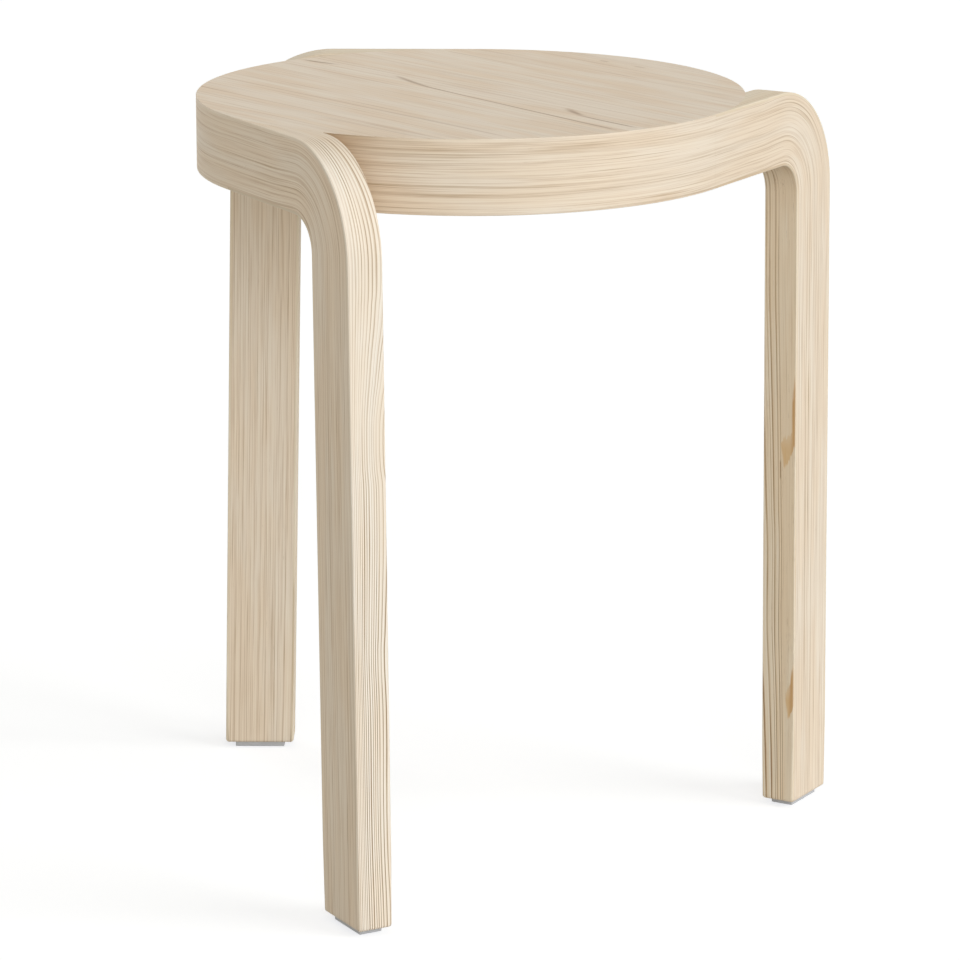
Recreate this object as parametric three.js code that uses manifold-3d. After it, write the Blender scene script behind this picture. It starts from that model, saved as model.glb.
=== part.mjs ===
// Stacking stool in bent laminated pine, in millimetres, +Z up.
// A round seat has three bent legs glued and dowelled to its rim. Each leg's arm leaves the rim on a tangent,
// turns down in one bend and stands on a plastic glide. Arms and seat share one stack of laminations.

import * as THREE from 'three';
import { mergeVertices } from 'three/addons/utils/BufferGeometryUtils.js';
import Module from 'manifold-3d';

const wasm = await Module();
wasm.setup();

// Whole stool
const totalHeight = 445;
const seatRadius = 160;
const stackThickness = 43;
const edgeRadius = 1.5;
const legCount = 3;
const firstArmAngle = THREE.MathUtils.degToRad(-60);

// Laminations
const veneerThickness = 1.5;
const glueLine = 0.3;

// Bent legs
const legWidth = 21.5;
const legReach = 150;
const innerBendRadius = 20;
const legSplay = THREE.MathUtils.degToRad(1.2);
const footCornerRadius = 2;
const armTipThickness = 0.3;

// Dowels between the rim and each arm
const dowelRadius = 4;
const dowelLength = 33;
const dowelChamfer = 1;
const dowelClearance = 0.3;
const dowelEndRoom = 1;
const dowelPlaceShare = 0.85;
const dowelDepthShare = 0.64;
const dowelSpreadShare = 0.42;

// Glides
const glideThickness = 3.2;
const glideEndInset = 6;
const glideSideInset = 3.6;
const glideCornerRadius = 1;

// Countersunk screws that hold the glides
const screwHeadRadius = 3.5;
const screwHeadHeight = 1.6;
const screwShankRadius = 1.6;
const screwLength = 20;
const screwPointLength = 4;
const screwRecess = 0.6;
const screwClearance = 0.3;
const screwEndRoom = 1;
const driveArmLength = 3.4;
const driveArmWidth = 0.8;
const driveDepth = 1;

// How far a cutting solid runs past what it cuts
const overrun = 5;

// How finely round surfaces are cut into flats
const rimSegments = 120;
const bendSegments = 14;
const edgeSegments = 2;
const cornerSegments = 4;
const smallRoundSegments = 20;

// Sizes that follow from the ones above
const quarterTurn = Math.PI / 2;
const footHeight = glideThickness + glueLine;
const seatUnderside = totalHeight - stackThickness;
const armInnerSide = seatRadius - legWidth;
const outerBendRadius = innerBendRadius + stackThickness;
const bendStart = legReach - outerBendRadius;
const bendHeight = totalHeight - outerBendRadius;
const armTipStart = Math.sqrt(seatRadius ** 2 - (seatRadius - armTipThickness) ** 2);
const notchAngle = Math.acos(armInnerSide / seatRadius);
const dowelAngle = notchAngle * dowelPlaceShare;
const dowelDepthInArm = (seatRadius / Math.cos(dowelAngle) - seatRadius) * dowelDepthShare;
const dowelOffset = (stackThickness * dowelSpreadShare) / 2;
const coreTop = veneerThickness + glueLine;
const coreBottom = stackThickness - coreTop;

const faceVeneer = { color: 0xdccbb1, roughness: 0.55, metalness: 0 };
const laminatedCore = { color: 0xd3bd97, roughness: 0.6, metalness: 0 };
const dowelWood = { color: 0xc9a77a, roughness: 0.7, metalness: 0 };
const glidePlastic = { color: 0xc4c8cb, roughness: 0.45, metalness: 0 };
const screwSteel = { color: 0xb9bbbe, roughness: 0.3, metalness: 1 };

// Turns a closed geometry into a solid that can be joined and cut
function toSolid(geometry) {
  const bare = geometry.index ? geometry.toNonIndexed() : geometry.clone();
  bare.deleteAttribute('normal');
  bare.deleteAttribute('uv');
  const merged = mergeVertices(bare);
  const corners = merged.index.array;
  const triangles = [];
  for (let i = 0; i < corners.length; i += 3) {
    const [a, b, c] = corners.slice(i, i + 3);
    if (a !== b && b !== c && c !== a) triangles.push(a, b, c);
  }
  return new wasm.Manifold(new wasm.Mesh({
    numProp: 3,
    vertProperties: Float32Array.from(merged.attributes.position.array),
    triVerts: Uint32Array.from(triangles),
  }));
}

function toGeometry(solid) {
  const mesh = solid.getMesh();
  const geometry = new THREE.BufferGeometry();
  geometry.setAttribute('position', new THREE.BufferAttribute(mesh.vertProperties, 3));
  geometry.setIndex(new THREE.BufferAttribute(mesh.triVerts, 1));
  geometry.computeVertexNormals();
  return geometry;
}

function piece(name, solid, finish) {
  const mesh = new THREE.Mesh(toGeometry(solid), new THREE.MeshStandardMaterial(finish));
  mesh.name = name;
  return mesh;
}

// A turned solid on the Z axis from an outline of (radius, height) points that runs from the lower end up
function turned(outline, segments) {
  return new THREE.LatheGeometry(outline, segments).rotateX(quarterTurn);
}

function disc(radius, bottom, top, segments = rimSegments) {
  return turned([
    new THREE.Vector2(0, bottom),
    new THREE.Vector2(radius, bottom),
    new THREE.Vector2(radius, top),
    new THREE.Vector2(0, top),
  ], segments);
}

// Points of a quarter round between two tangent points, with the sharp corner as the control point
function softCorner(from, corner, to, segments) {
  return new THREE.QuadraticBezierCurve(from, corner, to).getPoints(segments);
}

// The line through an arm and its leg at one depth under the seat's top face, in (reach, height) points
function stackLine(depth, tail, end) {
  const radius = outerBendRadius - depth;
  const points = [new THREE.Vector2(tail, totalHeight - depth)];
  for (let i = 0; i <= bendSegments; i += 1) {
    const angle = THREE.MathUtils.lerp(quarterTurn, legSplay, i / bendSegments);
    const reach = bendStart + radius * Math.cos(angle);
    points.push(new THREE.Vector2(reach, bendHeight + radius * Math.sin(angle)));
  }
  const last = points.at(-1);
  const drop = last.y - end;
  points.push(new THREE.Vector2(last.x + drop * Math.tan(legSplay), end));
  return points;
}

// Brings an outline drawn in (reach, height) and extruded upwards to the arm's place beside the rim
function besideRim(geometry, side) {
  return geometry.rotateX(quarterTurn).translate(0, -side, 0);
}

// Arm and leg as one rounded bar, before the rim's hollow is cut into it
function wholeBar() {
  const outer = stackLine(0, armTipStart, footHeight);
  const inner = stackLine(stackThickness, armTipStart, footHeight).reverse();
  const outerFoot = outer.at(-1);
  const innerFoot = inner[0];
  const down = new THREE.Vector2(Math.sin(legSplay), -Math.cos(legSplay)).multiplyScalar(footCornerRadius);
  const across = new THREE.Vector2(footCornerRadius, 0);
  const outline = [
    ...outer.slice(0, -1),
    ...softCorner(outerFoot.clone().sub(down), outerFoot, outerFoot.clone().sub(across), cornerSegments),
    ...softCorner(innerFoot.clone().add(across), innerFoot, innerFoot.clone().sub(down), cornerSegments),
    ...inner.slice(1),
  ];
  const bar = new THREE.ExtrudeGeometry(new THREE.Shape(outline), {
    depth: legWidth - edgeRadius - edgeRadius,
    steps: 1,
    bevelEnabled: true,
    bevelThickness: edgeRadius,
    bevelSize: edgeRadius,
    bevelOffset: -edgeRadius,
    bevelSegments: edgeSegments,
  });
  return besideRim(bar.translate(0, 0, edgeRadius), armInnerSide);
}

// One layer of the stack, wider and longer than the bar that it is taken from
function layerBand(upper, lower) {
  const outline = [
    ...stackLine(upper, -overrun, -overrun),
    ...stackLine(lower, -overrun, -overrun).reverse(),
  ];
  const band = new THREE.ExtrudeGeometry(new THREE.Shape(outline), {
    depth: legWidth + overrun + overrun,
    steps: 1,
    bevelEnabled: false,
  });
  return toSolid(besideRim(band, armInnerSide - overrun));
}

// A dowel's outline, or its hole's when it is given room, standing on the Z axis from zero up
function dowelShape(radius, length, chamfer) {
  return turned([
    new THREE.Vector2(0, 0),
    new THREE.Vector2(radius - chamfer, 0),
    new THREE.Vector2(radius, chamfer),
    new THREE.Vector2(radius, length - chamfer),
    new THREE.Vector2(radius - chamfer, length),
    new THREE.Vector2(0, length),
  ], smallRoundSegments);
}

// Lays an upright shape across the rim at the dowels' place, with its far end at the given depth in the arm
function acrossRim(geometry, length, depthInArm, height) {
  const outward = seatRadius + depthInArm - length;
  return geometry.rotateY(quarterTurn).translate(outward, 0, 0).rotateZ(dowelAngle - quarterTurn)
    .translate(0, 0, height);
}

const stackMiddle = totalHeight - stackThickness / 2;
const dowelHeights = { lower: stackMiddle - dowelOffset, upper: stackMiddle + dowelOffset };

function dowelGeometry(height) {
  return acrossRim(dowelShape(dowelRadius, dowelLength, dowelChamfer), dowelLength, dowelDepthInArm, height);
}

// The holes for the two dowels of the arm that points at the given angle
function dowelHoles(angle) {
  const length = dowelLength + dowelEndRoom + dowelEndRoom;
  return Object.values(dowelHeights).map((height) => {
    const hole = disc(dowelRadius + dowelClearance, 0, length, smallRoundSegments);
    return toSolid(acrossRim(hole, length, dowelDepthInArm + dowelEndRoom, height).rotateZ(angle));
  });
}

// The screw stands on the foot's middle, with its head down in the glide
const screwHeadTop = screwRecess + screwHeadHeight;
const screwEnd = screwRecess + screwLength;
const footMiddle = (() => {
  const outer = stackLine(0, armTipStart, footHeight).at(-1);
  const inner = stackLine(stackThickness, armTipStart, footHeight).at(-1);
  return new THREE.Vector3((outer.x + inner.x) / 2, legWidth / 2 - seatRadius, 0);
})();
const footDepth = stackThickness / Math.cos(legSplay);

function atFoot(geometry) {
  return geometry.translate(footMiddle.x, footMiddle.y, footMiddle.z);
}

function screwSolid() {
  const body = toSolid(turned([
    new THREE.Vector2(0, screwRecess),
    new THREE.Vector2(screwHeadRadius, screwRecess),
    new THREE.Vector2(screwShankRadius, screwHeadTop),
    new THREE.Vector2(screwShankRadius, screwEnd - screwPointLength),
    new THREE.Vector2(0, screwEnd),
  ], smallRoundSegments));
  const slot = () => new THREE.BoxGeometry(driveArmLength, driveArmWidth, driveDepth + driveDepth)
    .translate(0, 0, screwRecess);
  return body.subtract(toSolid(slot())).subtract(toSolid(slot().rotateZ(quarterTurn)));
}

function screwHole() {
  const mouth = screwHeadRadius + screwClearance;
  const shank = screwShankRadius + screwClearance;
  const end = screwEnd + screwEndRoom;
  return toSolid(atFoot(turned([
    new THREE.Vector2(0, -overrun),
    new THREE.Vector2(mouth, -overrun),
    new THREE.Vector2(mouth, screwRecess),
    new THREE.Vector2(shank, screwHeadTop),
    new THREE.Vector2(shank, end),
    new THREE.Vector2(0, end),
  ], smallRoundSegments)));
}

function glideBlank() {
  const halfLength = footDepth / 2 - glideEndInset;
  const halfWidth = legWidth / 2 - glideSideInset;
  const outline = [];
  for (const [x, y] of [[1, 1], [-1, 1], [-1, -1], [1, -1]]) {
    const corner = new THREE.Vector2(x * halfLength, y * halfWidth);
    const alongX = new THREE.Vector2(x * glideCornerRadius, 0);
    const alongY = new THREE.Vector2(0, y * glideCornerRadius);
    const ends = [corner.clone().sub(alongY), corner.clone().sub(alongX)];
    if (x !== y) ends.reverse();
    outline.push(...softCorner(ends[0], corner, ends[1], cornerSegments));
  }
  return atFoot(new THREE.ExtrudeGeometry(new THREE.Shape(outline), {
    depth: glideThickness,
    steps: 1,
    bevelEnabled: false,
  }));
}

function joined(solids) {
  return solids.reduce((whole, next) => whole.add(next));
}

function cutBy(solid, cutters) {
  return cutters.reduce((left, cutter) => left.subtract(cutter), solid);
}

const armAngles = Array.from({ length: legCount }, (_, i) => firstArmAngle + (i * 2 * Math.PI) / legCount);

// The seat's rounded blank fills up to the rim's joint under each arm and stays flush with the arm's faces
function seatBlank() {
  const flatRadius = seatRadius - edgeRadius;
  const lowerEdge = softCorner(
    new THREE.Vector2(flatRadius, seatUnderside),
    new THREE.Vector2(seatRadius, seatUnderside),
    new THREE.Vector2(seatRadius, seatUnderside + edgeRadius),
    edgeSegments,
  );
  const upperEdge = softCorner(
    new THREE.Vector2(seatRadius, totalHeight - edgeRadius),
    new THREE.Vector2(seatRadius, totalHeight),
    new THREE.Vector2(flatRadius, totalHeight),
    edgeSegments,
  );
  const round = toSolid(turned([
    new THREE.Vector2(0, seatUnderside),
    ...lowerEdge,
    ...upperEdge,
    new THREE.Vector2(0, totalHeight),
  ], rimSegments));
  const arms = joined(armAngles.map((angle) => toSolid(wholeBar().rotateZ(angle))));
  const joint = toSolid(disc(seatRadius - glueLine, seatUnderside - overrun, totalHeight + overrun));
  return round.add(arms.intersect(joint)).subtract(arms.subtract(joint));
}

function seatGroup() {
  const blank = seatBlank();
  const layer = (upper, lower) => blank.intersect(
    toSolid(disc(seatRadius + overrun, totalHeight - lower, totalHeight - upper)),
  );
  const undersideTop = stackThickness - veneerThickness;
  const holes = armAngles.flatMap(dowelHoles);
  const group = new THREE.Group();
  group.add(
    piece('seat_top_veneer', layer(-overrun, veneerThickness), faceVeneer),
    piece('seat_core', cutBy(layer(coreTop, coreBottom), holes), laminatedCore),
    piece('seat_underside_veneer', layer(undersideTop, stackThickness + overrun), faceVeneer),
  );
  return group;
}

function legGroup(name, angle) {
  const rim = toSolid(disc(seatRadius, seatUnderside - overrun, totalHeight + overrun));
  const bar = toSolid(wholeBar()).subtract(rim);
  const screw = screwHole();
  const core = cutBy(bar.intersect(layerBand(coreTop, coreBottom)), [screw, ...dowelHoles(0)]);
  const outerFace = bar.intersect(layerBand(-overrun, veneerThickness));
  const innerFace = bar.intersect(layerBand(stackThickness - veneerThickness, stackThickness + overrun));
  const group = new THREE.Group();
  group.add(
    piece(`${name}_leg_core`, core, laminatedCore),
    piece(`${name}_leg_outer_veneer`, outerFace, faceVeneer),
    piece(`${name}_leg_inner_veneer`, innerFace, faceVeneer),
    piece(`${name}_glide`, toSolid(glideBlank()).subtract(screw), glidePlastic),
  );
  for (const [place, height] of Object.entries(dowelHeights)) {
    group.add(piece(`${name}_${place}_dowel`, toSolid(dowelGeometry(height)), dowelWood));
  }
  const screwPiece = piece(`${name}_glide_screw`, screwSolid(), screwSteel);
  screwPiece.position.copy(footMiddle);
  group.add(screwPiece);
  group.rotation.z = angle;
  return group;
}

const stool = new THREE.Group();
stool.add(seatGroup());
['front', 'right', 'rear'].forEach((name, i) => stool.add(legGroup(name, armAngles[i])));

// The origin is the middle of the stool's box on the floor
stool.updateMatrixWorld(true);
const middle = new THREE.Box3().setFromObject(stool, true).getCenter(new THREE.Vector3());
stool.position.set(-middle.x, -middle.y, 0);

export default stool;
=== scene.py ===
import logging
import math
from dataclasses import dataclass, field
from enum import Enum
from functools import cached_property, partial
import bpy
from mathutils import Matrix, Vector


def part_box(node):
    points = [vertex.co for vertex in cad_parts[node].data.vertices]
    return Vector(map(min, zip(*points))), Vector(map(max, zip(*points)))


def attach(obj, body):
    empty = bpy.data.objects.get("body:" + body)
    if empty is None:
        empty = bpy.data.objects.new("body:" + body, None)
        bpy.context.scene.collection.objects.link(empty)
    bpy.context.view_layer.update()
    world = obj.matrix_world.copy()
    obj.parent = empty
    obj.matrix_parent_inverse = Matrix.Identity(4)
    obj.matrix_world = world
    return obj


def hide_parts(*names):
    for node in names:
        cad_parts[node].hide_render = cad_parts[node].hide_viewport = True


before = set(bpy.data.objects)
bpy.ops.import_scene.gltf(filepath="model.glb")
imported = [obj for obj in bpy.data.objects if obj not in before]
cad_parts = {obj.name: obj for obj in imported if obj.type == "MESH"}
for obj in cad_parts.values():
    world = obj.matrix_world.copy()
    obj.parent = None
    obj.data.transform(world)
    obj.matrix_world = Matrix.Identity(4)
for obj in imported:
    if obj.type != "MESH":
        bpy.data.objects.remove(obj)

from types import SimpleNamespace
from typing import Callable, Sequence

import bmesh
import bpy
from mathutils import Matrix, Vector

log = logging.getLogger("stacking_stool")

MM = 0.001
BODY = "root"
LEGS = 3
QUARTER_TURN = math.pi / 2
WHOLE_TURN = 2 * math.pi
SHARP_ANGLE = math.radians(35)

GRAIN_START = -340 * MM
GRAIN_END = 600 * MM
SIDE_SHARE = 0.15
SHIFT_LIMIT = 3 * MM
SEED_STEP = (7.31, 3.17, 5.71)
LATE_WOOD_EDGE = 0.94

STRIPES_IN_RAMP = 7
RAMP_STEP = 0.0005
MID_GREY = 0.5
GREY_OF_TONE = 0.25

Colour = tuple[float, float, float]
Point = tuple[float, float, float]
Pairs = Sequence[tuple[float, float]]
Piece = bpy.types.Object
Finish = bpy.types.Material
Group = bpy.types.NodeTree
Socket = bpy.types.NodeSocket


def linear(colour: Colour) -> tuple[float, float, float, float]:
    """Turns a colour written in 0 to 255 screen values into the values that a shader takes.

    Args:
        colour: red, green and blue as a screen shows them.

    Returns:
        Red, green, blue and full alpha.
    """
    def channel(value: float) -> float:
        """One channel."""
        share = value / 255
        return share / 12.92 if share <= 0.04045 else ((share + 0.055) / 1.055) ** 2.4

    return (channel(colour[0]), channel(colour[1]), channel(colour[2]), 1.0)


# Sizes


@dataclass(frozen=True)
class StoolSizes:
    """Sizes of the stool in metres. What the frame shows is measured on it."""

    axis_x: float
    axis_y: float
    height: float
    underside: float
    seat_radius: float
    leg_width: float = 21.5 * MM
    leg_reach: float = 150 * MM
    inner_bend_radius: float = 20 * MM
    splay: float = math.radians(1.2)
    first_arm_angle: float = math.radians(-60)
    edge_radius: float = 0.6 * MM
    edge_hold: float = 0.25 * MM
    foot_edge_radius: float = 2 * MM
    foot_edge_run: float = 40 * MM
    foot_corner: float = 2 * MM
    foot_height: float = 3.5 * MM
    veneer: float = 1.65 * MM
    seam: float = 0.01 * MM
    tip_start: float = 3.2 * MM
    wear_width: float = 2 * MM

    @classmethod
    def from_frame(cls) -> "StoolSizes":
        """Measures the seat and the stool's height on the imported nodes.

        Returns:
            The stool's sizes.
        """
        low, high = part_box("seat_top_veneer")
        underside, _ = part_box("seat_underside_veneer")
        return cls(
            axis_x=(low.x + high.x) / 2,
            axis_y=(low.y + high.y) / 2,
            height=high.z,
            underside=underside.z,
            seat_radius=(high.x - low.x) / 2,
        )

    @property
    def stack(self) -> float:
        """Thickness of the whole stack of laminations."""
        return self.height - self.underside

    @property
    def bend_radius(self) -> float:
        """Radius of the bend on its outer face."""
        return self.inner_bend_radius + self.stack

    @property
    def bend_start(self) -> float:
        """Where along the arm the bend starts."""
        return self.leg_reach - self.bend_radius

    @property
    def bend_height(self) -> float:
        """Height of the bend's centre."""
        return self.height - self.bend_radius

    @property
    def inner_side(self) -> float:
        """Distance of the arm's inner side from the seat's axis."""
        return self.seat_radius - self.leg_width

    @property
    def notch(self) -> float:
        """Where along the arm its inner side leaves the rim."""
        return math.sqrt(self.seat_radius ** 2 - self.inner_side ** 2)

    @property
    def covered_turn(self) -> float:
        """How far round the rim an arm covers it."""
        return math.acos(self.inner_side / self.seat_radius)

    def arm_angle(self, index: int) -> float:
        """Direction in which an arm points."""
        return self.first_arm_angle + index * WHOLE_TURN / LEGS

    def flat_from(self, radius: float) -> float:
        """Where the row lies that keeps a face flat right up to its rounded edge."""
        return radius + min(self.edge_hold, (self.wear_width - radius) / 2)


def rounding(distance: float, radius: float) -> float:
    """How far a rounded edge has dropped.

    Args:
        distance: how far inside the outline the point lies.
        radius: the edge's radius.

    Returns:
        The drop below the face.
    """
    if distance >= radius:
        return 0.0
    inward = radius - max(distance, 0.0)
    return radius - math.sqrt(radius * radius - inward * inward)


def quarter_arc(radius: float, steps: int) -> list[float]:
    """Distances from the outline of the points on a rounded edge, equal steps of turn apart."""
    return [radius * (1 - math.cos(QUARTER_TURN * i / steps)) for i in range(steps + 1)]


def nearness(gap: float, width: float) -> float:
    """How near an edge a point is: one on the edge, and zero from a width on."""
    return 1 - min(max(gap, 0.0) / width, 1.0)


# Meshes


class End(Enum):
    """How the ends of a lofted mesh are closed."""

    FLAT = "one face"
    POINT = "a fan round the middle"


@dataclass
class Loft:
    """A closed mesh drawn through rings that all have the same number of points."""

    rings: list[list[Vector]]
    ends: End = End.FLAT

    def to_object(self, name: str) -> Piece:
        """Makes the mesh and its object, with every face turned outwards.

        Args:
            name: the piece's name.

        Returns:
            The new object, linked to the scene.
        """
        count = len(self.rings[0])
        points = [point for ring in self.rings for point in ring]
        faces: list[list[int]] = []
        for near in range(0, len(points) - count, count):
            far = near + count
            for i in range(count):
                j = (i + 1) % count
                faces.append([near + i, near + j, far + j, far + i])
        last = len(points) - count
        self._close(points, faces, list(range(count))[::-1])
        self._close(points, faces, list(range(last, last + count)))
        mesh = bpy.data.meshes.new(name)
        mesh.from_pydata([tuple(point) for point in points], [], faces)
        mesh.validate()
        mesh.update()
        draft = bmesh.new()
        draft.from_mesh(mesh)
        bmesh.ops.recalc_face_normals(draft, faces=draft.faces)
        draft.to_mesh(mesh)
        draft.free()
        made = bpy.data.objects.new(name, mesh)
        bpy.context.scene.collection.objects.link(made)
        return made

    def _close(self, points: list[Vector], faces: list[list[int]], ring: list[int]) -> None:
        """Closes one end.

        Args:
            points: the mesh's points; a fan adds its middle.
            faces: the mesh's faces, which the end is added to.
            ring: the end's points in order.
        """
        if self.ends is End.FLAT:
            faces.append(ring)
            return
        centre = len(points)
        points.append(sum((points[i] for i in ring), Vector()) / len(ring))
        faces.extend([near, far, centre] for near, far in zip(ring, ring[1:] + ring[:1]))


def soften(made: Piece) -> None:
    """Shades a mesh smooth and keeps its steep edges sharp."""
    made.data.shade_smooth()
    made.data.set_sharp_from_angle(angle=SHARP_ANGLE)


def cut(made: Piece, cutters: Sequence[Piece]) -> None:
    """Cuts shapes out of a mesh and removes the cutters.

    Args:
        made: the piece that is cut.
        cutters: closed shapes.
    """
    for cutter in cutters:
        hole = made.modifiers.new("hole", "BOOLEAN")
        hole.operation = "DIFFERENCE"
        hole.solver = "EXACT"
        hole.object = cutter
    bpy.context.view_layer.update()
    graph = bpy.context.evaluated_depsgraph_get()
    mesh = bpy.data.meshes.new_from_object(made.evaluated_get(graph))
    old = made.data
    made.modifiers.clear()
    made.data = mesh
    mesh.name = old.name
    bpy.data.meshes.remove(old)
    for cutter in cutters:
        shape = cutter.data
        bpy.data.objects.remove(cutter)
        bpy.data.meshes.remove(shape)


def turned_shape(name: str, outline: Pairs, segments: int,
                 radius_at: Callable[[float, float, float], float] | None = None) -> Piece:
    """Turns an outline round the Z axis.

    Args:
        name: the object's name.
        outline: (radius, height) points from the lower end to the upper one.
        segments: how many flats go round.
        radius_at: gives the radius for a turn, an outline radius and a height, where it isn't the outline's own.

    Returns:
        The new object.
    """
    rings = []
    for radius, height in outline:
        ring = []
        for i in range(segments):
            turn = WHOLE_TURN * i / segments
            reach = radius_at(turn, radius, height) if radius_at else radius
            ring.append(Vector((reach * math.cos(turn), reach * math.sin(turn), height)))
        rings.append(ring)
    return Loft(rings, End.POINT).to_object(name)


def place(made: Piece, matrix: Matrix) -> Piece:
    """Moves the vertices of a mesh and leaves its object at the origin.

    Args:
        made: the object whose mesh moves.
        matrix: the move.

    Returns:
        The same object.
    """
    made.data.transform(matrix)
    made.data.update()
    return made


@dataclass(frozen=True)
class GrainStamp:
    """Grain place and edge nearness of one vertex."""

    along: float
    across: float
    depth: float
    edge: float


def write_stamps(mesh: bpy.types.Mesh, domain: str, marks: Sequence[GrainStamp]) -> None:
    """Writes stamps on a mesh.

    Args:
        mesh: the piece's mesh.
        domain: POINT or CORNER, what each stamp belongs to.
        marks: one stamp for each point or face corner.
    """
    mesh.attributes.new("grain", "FLOAT_VECTOR", domain)
    mesh.attributes.new("edge", "FLOAT", domain)
    places = [x for m in marks for x in (m.along, m.across, m.depth)]
    mesh.attributes["grain"].data.foreach_set("vector", places)
    mesh.attributes["edge"].data.foreach_set("value", [m.edge for m in marks])


def stamp(made: Piece, reader: Callable[[Vector], GrainStamp]) -> None:
    """Writes the grain place and the edge nearness of every vertex on the mesh.

    Args:
        made: the piece.
        reader: gives the stamp of a point.
    """
    write_stamps(made.data, "POINT", [reader(v.co) for v in made.data.vertices])


def finish_piece(made: Piece, node: str, material: Finish) -> None:
    """Gives a piece its material, its body and the node it stands for.

    Args:
        made: the piece.
        node: the frame's node that it stands for.
        material: its finish.
    """
    made.data.materials.clear()
    made.data.materials.append(material)
    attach(made, BODY)
    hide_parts(node)
    log.info("%s stands for %s: %d faces", made.name, node, len(made.data.polygons))


# Shader nodes


class Value:
    """What a node puts out. Sums, differences, products and quotients of it add Math nodes."""

    def __init__(self, sheet: "Sheet", socket: Socket) -> None:
        """Takes the sheet that further nodes go on and the node's own output."""
        self.sheet = sheet
        self.socket = socket

    def __add__(self, other: "Value | float") -> "Value":
        """This number plus another."""
        return self.sheet.math("ADD", self, other)

    def __sub__(self, other: "Value | float") -> "Value":
        """This number less another."""
        return self.sheet.math("SUBTRACT", self, other)

    def __rsub__(self, other: float) -> "Value":
        """A plain number less this one."""
        return self.sheet.math("SUBTRACT", other, self)

    def __mul__(self, other: "Value | float") -> "Value":
        """This number times another."""
        return Product(self.sheet, self, other)

    def __truediv__(self, other: "Value | float") -> "Value":
        """This number over another."""
        return self.sheet.math("DIVIDE", self, other)


class Product(Value):
    """A product. It gets a node of its own only where it is used as it is: a sum takes it in."""

    def __init__(self, sheet: "Sheet", *factors: Value | float) -> None:
        """Takes the sheet that its node goes on and the two numbers."""
        self.sheet = sheet
        self.factors = factors

    @cached_property
    def socket(self) -> Socket:
        """The output of the product's own node."""
        return self.sheet.math("MULTIPLY", *self.factors).socket

    def __add__(self, other: Value | float) -> Value:
        """This product plus a number, in one node."""
        return self.sheet.math("MULTIPLY_ADD", *self.factors, other)


Feed = Value | Socket | float | tuple[float, ...]


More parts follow.
